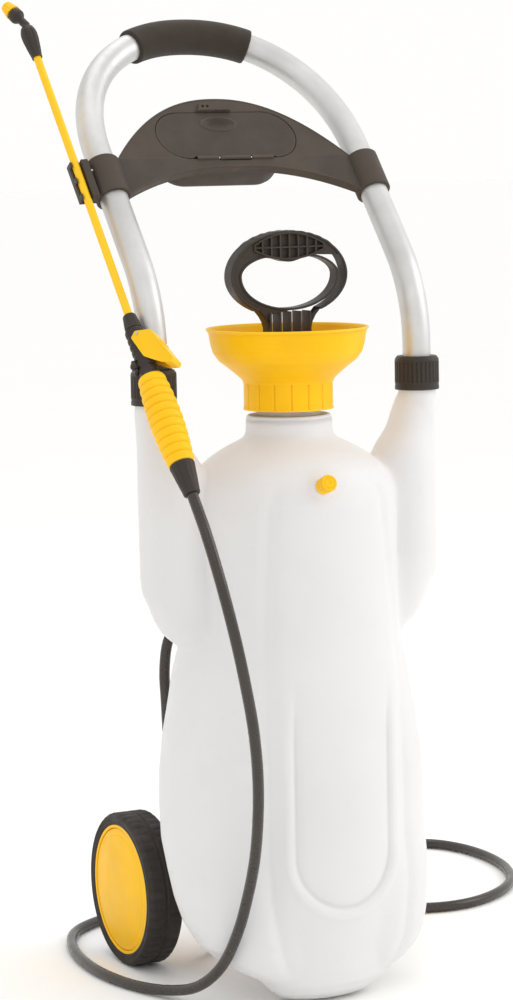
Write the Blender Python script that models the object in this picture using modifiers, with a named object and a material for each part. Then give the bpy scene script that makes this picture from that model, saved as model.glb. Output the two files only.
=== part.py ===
"""Wheeled pressure sprayer cart: blow-moulded tank on two wheels, with an arched handle, a hand
pump in a funnel cap, a tool tray, and a spray lance on a hose. Metres, +Z up, front is -Y.

The origin lies on the floor, at the centre of the small flat foot under the front of the tank.
"""
import math

import bmesh
import bpy
import numpy as np
from mathutils import Matrix, Vector

# ---- driving dimensions -------------------------------------------------------------------
GAP = 0.0003            # clearance between pieces that touch
AXIS_Y = 0.050          # pump and neck axis, behind the foot
TANK_WALL = 0.003
NECK_R = 0.032
NECK_BORE_R = 0.0285
NECK_TOP = 0.612
HORN_X = 0.1464         # the two sockets that hold the handle
HORN_R = 0.019
HORN_TOP = 0.612
SOCKET_FLOOR = 0.458
TUBE_R = 0.01425        # aluminium handle tube, 28.5 mm
TUBE_BORE_R = 0.01455   # what the tube goes through
TUBE_WALL = 0.0015
LEAN = math.radians(40.7)      # how far the upper handle leans back
CORNER_Z = 0.697               # where the upright legs and the leaning arch would meet
BEND_R = 0.146
ARCH_START = 0.190             # distances up the leaning plane from the corner
ARCH_RISE = 0.160
ARCH_POWER = 2.15
GRIP_TURN = math.radians(64.3)
GRIP_R = 0.0185
GRIP_BORE_R = 0.0153
TRAY_UP = 0.155
WHEEL_R = 0.080
WHEEL_X = 0.113
AXLE_Y = 0.2015
AXLE_R = 0.006
AXLE_BORE_R = 0.0063
BACK_Y = 0.136
BRACKET_SCREW_X = 0.028
BRACKET_SCREW_Z = 0.180
LANCE_POINT = Vector((-0.1777, 0.1445, 0.8156))
LANCE_UP = Vector((-0.0533, 0.729, 1.0)).normalized()
TRIGGER_SIDE = Vector((0.70, -0.58, 0.39))
HOSE_R = 0.0055
PUMP_REST_FLOOR = 0.350
RELIEF_POINT = Vector((-0.009, -0.0390, 0.5175))
RELIEF_TILT = math.radians(70)
OUTLET = Vector((-0.066, 0.136, 0.455))
NOZZLE_BEND = math.radians(22)

# Station tables of the tank: each row is a height and the sizes there.
# core ellipse: height, half width, half depth, centre Y
CORE = ((0.000, 0.032, 0.014, 0.000), (0.004, 0.044, 0.023, -0.002), (0.012, 0.056, 0.032, -0.005),
        (0.024, 0.068, 0.040, -0.006), (0.040, 0.086, 0.042, 0.000), (0.060, 0.100, 0.057, 0.024),
        (0.080, 0.104, 0.066, 0.034), (0.100, 0.105, 0.074, 0.042), (0.130, 0.105, 0.0825, 0.050),
        (0.165, 0.105, 0.0865, 0.052), (0.300, 0.105, 0.0865, 0.052), (0.345, 0.106, 0.088, 0.051),
        (0.380, 0.109, 0.090, 0.050), (0.500, 0.110, 0.090, 0.050), (0.517, 0.105, 0.0875, 0.050),
        (0.530, 0.095, 0.082, 0.050), (0.539, 0.083, 0.075, 0.050), (0.547, 0.070, 0.066, 0.050),
        (0.553, 0.058, 0.056, 0.050), (0.5575, 0.048, 0.048, 0.050), (0.562, 0.0435, 0.0435, 0.050))
# side lobes: height, centre X, centre Y, radius
SIDE = ((0.000, 0.010, 0.000, 0.004), (0.020, 0.035, -0.004, 0.016), (0.030, 0.048, -0.006, 0.030),
        (0.040, 0.055, 0.003, 0.043), (0.050, 0.058, 0.012, 0.053), (0.062, 0.060, 0.022, 0.062),
        (0.080, 0.060, 0.032, 0.070), (0.103, 0.060, 0.040, 0.075), (0.130, 0.060, 0.047, 0.078),
        (0.160, 0.060, 0.056, 0.080), (0.200, 0.060, 0.058, 0.0805), (0.225, 0.060, 0.058, 0.080),
        (0.262, 0.060, 0.058, 0.076), (0.300, 0.060, 0.058, 0.069), (0.328, 0.060, 0.058, 0.0645),
        (0.350, 0.059, 0.058, 0.060), (0.380, 0.055, 0.056, 0.048), (0.620, 0.010, 0.050, 0.010))
# front lobe ellipse: height, half width, half depth, centre Y
FRONT = ((0.000, 0.030, 0.013, 0.000), (0.004, 0.046, 0.024, -0.002), (0.012, 0.057, 0.033, -0.005),
         (0.024, 0.067, 0.040, -0.006), (0.036, 0.072, 0.043, -0.005), (0.060, 0.084, 0.053, 0.005),
         (0.100, 0.094, 0.063, 0.013), (0.160, 0.100, 0.070, 0.020), (0.300, 0.100, 0.070, 0.020),
         (0.370, 0.096, 0.064, 0.021), (0.500, 0.080, 0.058, 0.022), (0.540, 0.050, 0.040, 0.030),
         (0.560, 0.020, 0.020, 0.040), (0.620, 0.010, 0.010, 0.050))
# wings that carry the handle sockets: height, centre X, radius
WING = ((0.352, 0.100, 0.012), (0.358, 0.106, 0.0215), (0.370, 0.114, 0.0280), (0.390, 0.1215, 0.0308),
        (0.430, 0.1280, 0.0330), (0.534, 0.1290, 0.0330), (0.546, 0.1320, 0.0300), (0.560, 0.1380, 0.0245),
        (0.592, 0.1455, 0.0195))
WING_Y = AXIS_Y + 0.003
WING_SIDES = 14

# ---- materials ----------------------------------------------------------------------------
COLOURS = {
    "tank_white": ((0.86, 0.85, 0.82), 0.35, 0.0),
    "sprayer_yellow": ((0.95, 0.55, 0.02), 0.40, 0.0),
    "warm_black": ((0.045, 0.038, 0.034), 0.50, 0.0),
    "aluminium": ((0.80, 0.80, 0.79), 0.35, 1.0),
    "steel": ((0.60, 0.60, 0.60), 0.30, 1.0),
    "rubber": ((0.03, 0.03, 0.03), 0.75, 0.0),
    "foam": ((0.055, 0.048, 0.042), 0.90, 0.0),
    "natural_plastic": ((0.75, 0.74, 0.70), 0.40, 0.0),
    "hose_black": ((0.05, 0.045, 0.04), 0.35, 0.0),
}


def clear_scene():
    for obj in list(bpy.data.objects):
        bpy.data.objects.remove(obj)


clear_scene()
PARTS = bpy.data.collections.new("wheeled_sprayer_cart")
CUTTERS = bpy.data.collections.new("cutters")
bpy.context.scene.collection.children.link(PARTS)
bpy.context.scene.collection.children.link(CUTTERS)


def material(name, finish):
    colour, roughness, metallic = COLOURS[finish]
    mat = bpy.data.materials.new(name)
    mat.use_nodes = True
    shader = mat.node_tree.nodes["Principled BSDF"]
    shader.inputs["Base Color"].default_value = (*colour, 1.0)
    shader.inputs["Roughness"].default_value = roughness
    shader.inputs["Metallic"].default_value = metallic
    return mat


# ---- object helpers -----------------------------------------------------------------------
def place(obj, finish=None, location=(0, 0, 0), rotation=(0, 0, 0), parent=None):
    """Puts obj in the scene: a piece when it has a finish, otherwise a hidden cutter."""
    if finish:
        PARTS.objects.link(obj)
        obj.data.materials.append(material(obj.name, finish))
    else:
        CUTTERS.objects.link(obj)
        obj.hide_render = True
        obj.display_type = "WIRE"
    obj.location = location
    obj.rotation_euler = rotation
    obj.parent = parent
    return obj


def frame_empty(name, location, z_axis, minus_y):
    """An empty whose local Z and local -Y point the given ways."""
    z_axis = z_axis.normalized()
    y_axis = -(minus_y - z_axis * minus_y.dot(z_axis)).normalized()
    x_axis = y_axis.cross(z_axis)
    empty = bpy.data.objects.new(name, None)
    PARTS.objects.link(empty)
    rotation = Matrix((x_axis, y_axis, z_axis)).transposed().to_4x4()
    empty.matrix_world = Matrix.Translation(location) @ rotation
    return empty


def turned(name, profile, finish=None, steps=32, **where):
    """A solid turned about its local Z. Profile rows are (radius, height), top to bottom outside."""
    mesh = bpy.data.meshes.new(name)
    points = [(radius, 0.0, height) for radius, height in profile]
    edges = [(i, i + 1) for i in range(len(points) - 1)]
    if profile[0][0] > 0:
        edges.append((len(points) - 1, 0))
    mesh.from_pydata(points, edges, [])
    obj = place(bpy.data.objects.new(name, mesh), finish, **where)
    screw = obj.modifiers.new("turn", "SCREW")
    screw.steps = steps
    screw.render_steps = steps
    screw.use_merge_vertices = True
    screw.merge_threshold = 0.00001
    screw.use_smooth_shade = False
    return obj


def rod(name, radius, low, high, finish=None, steps=16, **where):
    return turned(name, ((0, high), (radius, high), (radius, low), (0, low)), finish, steps, **where)


def ring(name, outer, inner, low, high, finish=None, steps=32, **where):
    profile = ((outer, high), (outer, low), (inner, low), (inner, high))
    return turned(name, profile, finish, steps, **where)


def box(name, low, high, finish=None, bevel=0.0, **where):
    low, high = Vector(low), Vector(high)
    mesh = bpy.data.meshes.new(name)
    bm = bmesh.new()
    bmesh.ops.create_cube(bm, size=1.0)
    bmesh.ops.scale(bm, vec=high - low, verts=bm.verts)
    bmesh.ops.translate(bm, vec=(low + high) / 2, verts=bm.verts)
    bm.to_mesh(mesh)
    bm.free()
    obj = place(bpy.data.objects.new(name, mesh), finish, **where)
    if bevel:
        rounded = obj.modifiers.new("round", "BEVEL")
        rounded.width = bevel
        rounded.segments = 1
    return obj


def loft(name, rings, finish=None, **where):
    """Closed solid through rings of equal length, from first to last, with a cap on each end."""
    count = len(rings[0])
    points = [point for ring_points in rings for point in ring_points]
    faces = [tuple(reversed(range(count)))]
    for level in range(len(rings) - 1):
        a, b = level * count, (level + 1) * count
        for i in range(count):
            j = (i + 1) % count
            faces.append((a + i, a + j, b + j, b + i))
    top = (len(rings) - 1) * count
    faces.append(tuple(top + i for i in range(count)))
    mesh = bpy.data.meshes.new(name)
    mesh.from_pydata(points, [], faces)
    bm = bmesh.new()
    bm.from_mesh(mesh)
    bmesh.ops.recalc_face_normals(bm, faces=bm.faces)
    bm.to_mesh(mesh)
    bm.free()
    return place(bpy.data.objects.new(name, mesh), finish, **where)


def wire(points, radius, resolution, capped):
    curve = bpy.data.curves.new("wire", "CURVE")
    curve.dimensions = "3D"
    curve.bevel_depth = radius
    curve.bevel_resolution = resolution
    curve.use_fill_caps = capped
    spline = curve.splines.new("POLY")
    spline.points.add(len(points) - 1)
    for target, point in zip(spline.points, points):
        target.co = (*point, 1.0)
    return bpy.data.objects.new("wire", curve)


def meshed(curve_obj, name):
    """The curve object's surface as a welded mesh."""
    bpy.context.scene.collection.objects.link(curve_obj)
    graph = bpy.context.evaluated_depsgraph_get()
    mesh = bpy.data.meshes.new_from_object(curve_obj.evaluated_get(graph))
    mesh.name = name
    bm = bmesh.new()
    bm.from_mesh(mesh)
    bmesh.ops.remove_doubles(bm, verts=bm.verts, dist=0.000001)
    bmesh.ops.recalc_face_normals(bm, faces=bm.faces)
    bm.to_mesh(mesh)
    bm.free()
    mesh.materials.clear()
    bpy.data.objects.remove(curve_obj)
    return mesh


def tube(name, points, radius, finish, resolution=2, **where):
    """A solid round bar through the points."""
    obj = wire(points, radius, resolution, True)
    obj.name = name
    obj.data.name = name
    return place(obj, finish, **where)


def sleeve(name, points, outer, wall, finish, resolution, **where):
    """A hollow tube through the points, open at both ends."""
    mesh = meshed(wire(points, outer, resolution, False), name)
    obj = place(bpy.data.objects.new(name, mesh), finish, **where)
    shell = obj.modifiers.new("wall", "SOLIDIFY")
    shell.thickness = wall
    shell.offset = -1.0
    return obj


def plate(name, outlines, thickness, finish=None, flip=None, **where):
    """A flat plate from 2D outlines, the first one the edge and the rest holes.

    Without flip it lies in local XY, centred on z = 0. flip is a matrix applied to the mesh.
    """
    curve = bpy.data.curves.new(name, "CURVE")
    curve.dimensions = "2D"
    curve.fill_mode = "BOTH"
    curve.extrude = thickness / 2
    for outline in outlines:
        spline = curve.splines.new("POLY")
        spline.points.add(len(outline) - 1)
        spline.use_cyclic_u = True
        for target, (x, y) in zip(spline.points, outline):
            target.co = (x, y, 0.0, 1.0)
    mesh = meshed(bpy.data.objects.new(name, curve), name)
    if flip is not None:
        mesh.transform(flip)
    return place(bpy.data.objects.new(name, mesh), finish, **where)


def boolean(obj, other, operation):
    step = obj.modifiers.new(operation.lower(), "BOOLEAN")
    step.object = other
    step.operation = operation
    step.solver = "EXACT"


def joined(name, objects):
    """One hidden mesh object holding copies of several cutters."""
    graph = bpy.context.evaluated_depsgraph_get()
    bm = bmesh.new()
    for obj in objects:
        part = bpy.data.meshes.new_from_object(obj.evaluated_get(graph))
        part.transform(obj.matrix_world)
        bm.from_mesh(part)
    bmesh.ops.remove_doubles(bm, verts=bm.verts, dist=0.000001)
    bmesh.ops.recalc_face_normals(bm, faces=bm.faces)
    mesh = bpy.data.meshes.new(name)
    bm.to_mesh(mesh)
    bm.free()
    for obj in objects:
        bpy.data.objects.remove(obj)
    return place(bpy.data.objects.new(name, mesh))


def helix(radius, wire_radius, low, high, turns, per_turn=8):
    count = int(turns * per_turn) + 1
    rise = high - low - 2 * wire_radius
    points = []
    for i in range(count):
        turn = 2 * math.pi * i / per_turn
        height = low + wire_radius + rise * i / (count - 1)
        points.append((radius * math.cos(turn), radius * math.sin(turn), height))
    return points


def smooth_route(points, spacing):
    """Evenly spaced points on a smooth curve through the given ones (centripetal Catmull-Rom)."""
    p = np.array(points, float)
    p = np.vstack((2 * p[0] - p[1], p, 2 * p[-1] - p[-2]))
    fine = []
    for a, b, c, d in zip(p[:-3], p[1:-2], p[2:-1], p[3:]):
        t1 = np.linalg.norm(b - a) ** 0.5
        t2 = t1 + np.linalg.norm(c - b) ** 0.5
        t3 = t2 + np.linalg.norm(d - c) ** 0.5
        for t in np.linspace(t1, t2, 24, endpoint=False):
            ab = a + (b - a) * t / t1
            bc = b + (c - b) * (t - t1) / (t2 - t1)
            cd = c + (d - c) * (t - t2) / (t3 - t2)
            abc = ab + (bc - ab) * t / t2
            bcd = bc + (cd - bc) * (t - t1) / (t3 - t1)
            fine.append(abc + (bcd - abc) * (t - t1) / (t2 - t1))
    fine = np.array(fine + [p[-2]])
    along = np.concatenate(([0], np.cumsum(np.linalg.norm(np.diff(fine, axis=0), axis=1))))
    wanted = np.linspace(0, along[-1], int(round(along[-1] / spacing)) + 1)
    return np.stack([np.interp(wanted, along, fine[:, k]) for k in range(3)], axis=1)


# ---- tank ---------------------------------------------------------------------------------
TANK_SIDES = 28
BLEND_POWER = 22        # how sharply the lobes meet in the creases


def station(table, z):
    heights = [row[0] for row in table]
    return [float(np.interp(z, heights, [row[k] for row in table])) for k in range(1, len(table[0]))]


def ray_to_ellipse(origin_y, angle, half_x, half_y, centre_x, centre_y):
    """Distance from (0, origin_y) out to the far side of an ellipse, or 0 when the ray misses it."""
    dx, dy = math.cos(angle) / half_x, math.sin(angle) / half_y
    ox, oy = -centre_x / half_x, (origin_y - centre_y) / half_y
    a = dx * dx + dy * dy
    b = ox * dx + oy * dy
    c = ox * ox + oy * oy - 1
    inside = b * b - a * c
    return max(0.0, (-b + math.sqrt(inside)) / a) if inside > 0 else 0.0


def tank_ring(z, height, shrink=0.0):
    """Points of the tank's outline at station z, drawn at the given height."""
    core_x, core_y, core_mid = station(CORE, z)
    side_x, side_mid, side_r = station(SIDE, z)
    front_x, front_y, front_mid = station(FRONT, z)
    origin_y = float(np.interp(z, (0.0, 0.04, 0.16), (0.0, 0.004, AXIS_Y)))
    points = []
    for i in range(TANK_SIDES):
        angle = 2 * math.pi * i / TANK_SIDES
        reach = [ray_to_ellipse(origin_y, angle, core_x, core_y, 0.0, core_mid),
                 ray_to_ellipse(origin_y, angle, front_x, front_y, 0.0, front_mid)]
        for sign in (-1, 1):
            reach.append(ray_to_ellipse(origin_y, angle, side_r, side_r, sign * side_x, side_mid))
        biggest = max(reach)
        r = biggest * sum((one / biggest) ** BLEND_POWER for one in reach) ** (1 / BLEND_POWER)
        if math.sin(angle) > 0:
            r = min(r, (BACK_Y - origin_y) / math.sin(angle))
        r -= shrink
        points.append((r * math.cos(angle), origin_y + r * math.sin(angle), height))
    return points


def neck_ring(radius, height):
    return [(radius * math.cos(2 * math.pi * i / TANK_SIDES),
             AXIS_Y + radius * math.sin(2 * math.pi * i / TANK_SIDES), height) for i in range(TANK_SIDES)]


def make_tank():
    lower = (0.004, 0.014, 0.030, 0.052, 0.085, 0.130, 0.200)
    upper = (0.250, 0.300, 0.350, 0.500, 0.520, 0.538, 0.550)
    rings = [tank_ring(z, z) for z in (0.0,) + lower + upper + (0.562,)]
    rings += [neck_ring(0.0430, 0.579), neck_ring(0.0415, 0.5805), neck_ring(NECK_R, 0.5805),
              neck_ring(NECK_R, NECK_TOP), neck_ring(NECK_BORE_R, NECK_TOP), neck_ring(NECK_BORE_R, 0.5575)]
    rings += [tank_ring(z, z - TANK_WALL, TANK_WALL) for z in reversed(upper)]
    rings += [tank_ring(z, z + TANK_WALL, TANK_WALL) for z in reversed(lower)]
    tank = loft("tank", rings, "tank_white")

    def wing_rings(sign, shrink, reach):
        rows = []
        for height, centre_x, radius in WING:
            if shrink and not 0.366 <= height <= 0.550:
                continue
            r = radius - shrink
            row = []
            for i in range(WING_SIDES):
                angle = 2 * math.pi * i / WING_SIDES
                x = r * math.cos(angle)
                if x < 0:
                    x *= reach
                row.append((sign * (centre_x + x), WING_Y + r * math.sin(angle), height))
            rows.append(row)
        return rows

    def both_sides(name, make):
        return joined(name, [make(sign) for sign in (-1, 1)])

    bpy.context.view_layer.update()
    wings = both_sides("cut_wings", lambda s: loft(f"wing{s}", wing_rings(s, 0.0, 1.0)))
    hollows = both_sides("cut_hollows", lambda s: loft(f"hollow{s}", wing_rings(s, TANK_WALL, 1.7)))
    socket_bottom = ((0.0, 0.395), (0.008, 0.397), (0.015, 0.404), (HORN_R, 0.416))
    column = ((0.0, HORN_TOP), (HORN_R, HORN_TOP)) + tuple(reversed(socket_bottom))
    columns = both_sides("cut_columns", lambda s: turned(f"column{s}", column, steps=20,
                                                         location=(s * HORN_X, AXIS_Y, 0)))
    bores = both_sides("cut_bores", lambda s: rod(f"bore{s}", TUBE_BORE_R, SOCKET_FLOOR, 0.650, steps=20,
                                                 location=(s * HORN_X, AXIS_Y, 0)))
    boolean(tank, wings, "UNION")
    boolean(tank, hollows, "DIFFERENCE")
    boolean(tank, columns, "UNION")
    boolean(tank, bores, "DIFFERENCE")

    screw_bosses = [rod("cut_screw_boss", 0.0065, -0.0130, -0.0032, steps=12, rotation=(-math.pi / 2, 0, 0),
                        location=(x, BACK_Y, BRACKET_SCREW_Z)) for x in (-BRACKET_SCREW_X, BRACKET_SCREW_X)]
    boss = rod("cut_boss", 0.0165, -0.0380, 0.0, steps=20, location=OUTLET, rotation=(-math.pi / 2, 0, 0))
    relief_boss = rod("cut_relief_boss", 0.0105, -0.009, 0.0, steps=16,
                      location=RELIEF_POINT, rotation=(RELIEF_TILT, 0, 0))
    bpy.context.view_layer.update()
    boolean(tank, joined("cut_bosses", screw_bosses + [boss, relief_boss]), "UNION")
    holes = [rod("cut_outlet", 0.0083, -0.060, 0.010, location=OUTLET, rotation=(-math.pi / 2, 0, 0)),
             rod("cut_relief", 0.0053, -0.020, 0.010, location=RELIEF_POINT, rotation=(RELIEF_TILT, 0, 0))]
    for x in (-BRACKET_SCREW_X, BRACKET_SCREW_X):
        holes.append(rod("cut_screw", 0.0025, -0.0075, 0.010, steps=12,
                         location=(x, BACK_Y, BRACKET_SCREW_Z), rotation=(-math.pi / 2, 0, 0)))
    bpy.context.view_layer.update()
    boolean(tank, joined("cut_holes", holes), "DIFFERENCE")
    return tank


# ---- handle -------------------------------------------------------------------------------
def leaning(x, up):
    """Point of the leaning plane: up is the distance from the corner."""
    return (x, AXIS_Y + up * math.sin(LEAN), CORNER_Z + up * math.cos(LEAN))


def arch_point(turn):
    """Point on the rounded top of the arch; turn runs 0 at one foot to pi at the other."""
    x = math.copysign(abs(math.cos(turn)) ** (2 / ARCH_POWER), math.cos(turn)) * HORN_X
    return leaning(x, ARCH_START + ARCH_RISE * math.sin(turn) ** (2 / ARCH_POWER))


def handle_leg():
    """Right leg from the socket floor to the foot of the arch."""
    reach = BEND_R * math.tan(LEAN / 2)
    centre = (AXIS_Y + BEND_R, CORNER_Z - reach)
    points = [(HORN_X, AXIS_Y, SOCKET_FLOOR + GAP)]
    for i in range(5):
        turn = LEAN * i / 4
        points.append((HORN_X, centre[0] - BEND_R * math.cos(turn), centre[1] + BEND_R * math.sin(turn)))
    return points


def make_handle():
    leg = handle_leg()
    shoulder = [arch_point(GRIP_TURN * i / 5) for i in range(5)]
    top = [arch_point(GRIP_TURN + (math.pi - 2 * GRIP_TURN) * i / 4) for i in range(5)]
    right = leg + shoulder
    left = [(-x, y, z) for x, y, z in reversed(right)]
    sleeve("handle_tube", right + top + left, TUBE_R, TUBE_WALL, "aluminium", 3)
    sleeve("hand_grip", top, GRIP_R, GRIP_R - GRIP_BORE_R, "foam", 3)
    for side, sign in (("left", -1), ("right", 1)):
        nut = ((0.0200, 0.6330), (0.0225, 0.6290), (0.0225, 0.5988), (0.0194, 0.5988), (0.0194, 0.6185),
               (0.0149, 0.6185), (0.0149, 0.6330))
        turned(f"horn_nut_{side}", nut, "warm_black", 20, location=(sign * HORN_X, AXIS_Y, 0))
        ring(f"horn_seal_{side}", 0.0189, 0.0149, 0.6123, 0.6182, "rubber", 20,
             location=(sign * HORN_X, AXIS_Y, 0))


# ---- tool tray between the legs ------------------------------------------------------------
PLATE_FRONT = 0.0065
PLATE_BACK = 0.0020
HALF_SPAN = 0.131
LID_MID = 0.0535
LID_HALF_X = 0.078
LID_HALF_Z = 0.0305
LID_PIN_Z = 0.0228          # the lid's hinge line, level with the tray's front face
LID_PIN_OUT = 0.0066
LID_PIN_HALF = 0.0430
KNUCKLE_R = 0.0022
KNUCKLE_SPAN = (0.0190, 0.0430)    # the tray's knuckles; the lid's own one fills the middle
LID_KNUCKLE_HALF = 0.0170
UPRIGHT = Matrix.Rotation(math.pi / 2, 4, "X")     # turns local XY into local XZ


def stadium(half_x, half_z, mid_z, per_end=7):
    points = []
    for sign, start in ((1, -90), (-1, 90)):
        for i in range(per_end):
            turn = math.radians(start + 180 * i / (per_end - 1))
            points.append((sign * (half_x - half_z) + half_z * math.cos(turn),
                           mid_z + half_z * math.sin(turn)))
    return points


def tray_edge(x, top):
    """Height of the crescent's upper or lower edge at x."""
    bend = (abs(x) / 0.130) ** 2.2
    return 0.1027 - 0.0777 * bend if top else 0.0115 - 0.0335 * bend


def make_tray():
    tray_frame = frame_empty("tray_frame", Vector(leaning(0, TRAY_UP)),
                             Vector((0, math.sin(LEAN), math.cos(LEAN))), Vector((0, -1, 0)))
    spans = [HALF_SPAN * math.sin(math.pi / 2 * i / 9) for i in range(-9, 10)]
    outline = [(x, tray_edge(x, False)) for x in spans] + [(x, tray_edge(x, True)) for x in reversed(spans)]
    hole = list(reversed(stadium(LID_HALF_X + 0.0004, LID_HALF_Z + 0.0004, LID_MID)))
    hinge = dict(parent=tray_frame, rotation=(0, math.pi / 2, 0))
    hinge_at = Vector((0, -LID_PIN_OUT, LID_PIN_Z))
    middle = Matrix.Translation((0, -(PLATE_FRONT + PLATE_BACK) / 2, 0))
    tray = plate("tray_plate", (outline, hole), PLATE_FRONT - PLATE_BACK, "warm_black",
                 flip=middle @ UPRIGHT, parent=tray_frame)
    collars = [ring(f"collar{s}", 0.018, TUBE_BORE_R, -0.0225, 0.0225, steps=20, parent=tray_frame,
                    location=(s * HORN_X, 0, 0)) for s in (-1, 1)]
    low, high = KNUCKLE_SPAN
    collars += [rod(f"knuckle{start}", KNUCKLE_R, start, start + high - low, steps=16,
                    location=hinge_at, **hinge) for start in (low, -high)]
    bpy.context.view_layer.update()
    boolean(tray, joined("cut_collars", collars), "UNION")
    notch = LID_KNUCKLE_HALF + 0.0006
    lid_notch = box("cut_lid_notch", (-notch, -0.0095, LID_PIN_Z - 0.0027),
                    (notch, -0.0010, LID_PIN_Z + 0.0004), parent=tray_frame)
    boolean(tray, lid_notch, "DIFFERENCE")
    pin_bore = rod("cut_lid_pin", 0.0013, -LID_PIN_HALF - 0.0004, LID_PIN_HALF + 0.0004, steps=12,
                   location=hinge_at, **hinge)
    boolean(tray, pin_bore, "DIFFERENCE")
    rod("lid_hinge_pin", 0.0010, -LID_PIN_HALF, LID_PIN_HALF, "steel", 12, location=hinge_at, **hinge)

    lid_back, lid_front = 0.0022, 0.0064
    to_pin = Matrix.Translation((0, LID_PIN_OUT - (lid_back + lid_front) / 2, -LID_PIN_Z))
    lid = plate("tray_lid", (stadium(LID_HALF_X, LID_HALF_Z, LID_MID),), lid_front - lid_back, "warm_black",
                flip=to_pin @ UPRIGHT, parent=tray_frame, location=hinge_at)
    chamfer = lid.modifiers.new("chamfer", "BEVEL")
    chamfer.width = 0.0010
    chamfer.segments = 1
    lid_knuckle = rod("cut_lid_knuckle", KNUCKLE_R, -LID_KNUCKLE_HALF, LID_KNUCKLE_HALF, steps=16,
                      location=hinge_at, **hinge)
    boolean(lid, lid_knuckle, "UNION")
    sides = [box(f"notch{start}", (start - 0.0006, -0.0095, LID_PIN_Z - 0.0028),
                 (start + high - low + 0.0006, -0.0010, LID_PIN_Z + 0.0028), parent=tray_frame)
             for start in (low, -high)]
    bpy.context.view_layer.update()
    boolean(lid, joined("cut_lid_sides", sides), "DIFFERENCE")
    boolean(lid, pin_bore, "DIFFERENCE")

    def bin_ring(half_x, half_z, out):
        return [(x, -out, z) for x, z in stadium(half_x, half_z, 0.0525)]

    # from the inner floor up the inner wall, over the flange, and down the outer wall
    sizes = ((0.058, 0.0195, -0.0415), (0.066, 0.0260, -0.0360), (0.072, 0.0280, 0.0017),
             (0.083, 0.0335, 0.0017), (0.083, 0.0335, -0.0003), (0.0742, 0.0305, -0.0003),
             (0.068, 0.0285, -0.0380), (0.059, 0.0205, -0.0440))
    loft("tray_bin", [bin_ring(*size) for size in sizes], "warm_black", parent=tray_frame)
    return tray_frame, tray


# ---- lance holders ------------------------------------------------------------------------
CLIP_HALF = 0.0225
JAW_IN = 0.0044
CRADLE_Z = -0.2170
CRADLE_IN = 0.0103
CRADLE_OUT = 0.0138
CRADLE_FROM = math.radians(45)       # the hook is open towards the trigger and the front
CRADLE_TO = math.radians(182)


def make_holders(tray_frame, tray):
    clip_frame = frame_empty("clip_frame", LANCE_POINT, LANCE_UP, Vector((0, -1, 0)))
    clip = box("lance_clip", (-0.0068, -0.0062, -CLIP_HALF), (0.0120, 0.0074, CLIP_HALF), "warm_black",
               parent=clip_frame)
    channel = box("cut_channel", (-JAW_IN, -0.020, -0.030), (JAW_IN, JAW_IN, 0.030), parent=clip_frame)
    boolean(clip, channel, "DIFFERENCE")
    shank = ((0, 0.0058), (0.0027, 0.0058), (0.0027, 0.0046), (0.0014, 0.0046), (0.0014, -0.0036),
             (0, -0.0036))
    wide = ((0, 0.0100), (0.0030, 0.0100), (0.0030, 0.0043), (0.0017, 0.0043), (0.0017, -0.0040),
            (0, -0.0040))
    to_side = (0, -math.pi / 2, 0)
    holes = []
    for level, z in (("lower", -0.012), ("upper", 0.012)):
        where = dict(parent=clip_frame, location=(0.0125, 0.0, z), rotation=to_side)
        turned(f"clip_screw_{level}", shank, "steel", 12, **where)
        holes.append(turned("cut_clip_screw", wide, steps=12, **where))
    bpy.context.view_layer.update()
    cut = joined("cut_clip_screws", holes)
    boolean(clip, cut, "DIFFERENCE")
    boolean(tray, cut, "DIFFERENCE")

    cradle = ring("lance_cradle", 0.0185, 0.0149, 0.6335, 0.6465, "warm_black", 20,
                  location=(-HORN_X, AXIS_Y, 0))
    turns = [CRADLE_FROM + (CRADLE_TO - CRADLE_FROM) * i / 10 for i in range(11)]
    hook = [(CRADLE_OUT * math.cos(turn), CRADLE_OUT * math.sin(turn)) for turn in turns]
    hook += [(CRADLE_IN * math.cos(turn), CRADLE_IN * math.sin(turn)) for turn in reversed(turns)]
    jaw = plate("cut_jaw", (hook,), 0.0130, parent=clip_frame, location=(0, 0, CRADLE_Z))
    lance_at = LANCE_POINT + LANCE_UP * CRADLE_Z
    tube_at = Vector((-HORN_X, AXIS_Y, 0.640))
    to_lance = Vector((lance_at.x - tube_at.x, lance_at.y - tube_at.y, 0))
    arm_frame = frame_empty("arm_frame", tube_at, Vector((0, 0, 1)), to_lance)
    arm = box("cut_arm", (-0.006, 0.0117 - to_lance.length, -0.0064), (0.006, -0.0170, -0.0010),
              parent=arm_frame)
    boolean(cradle, jaw, "UNION")
    boolean(cradle, arm, "UNION")


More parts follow.
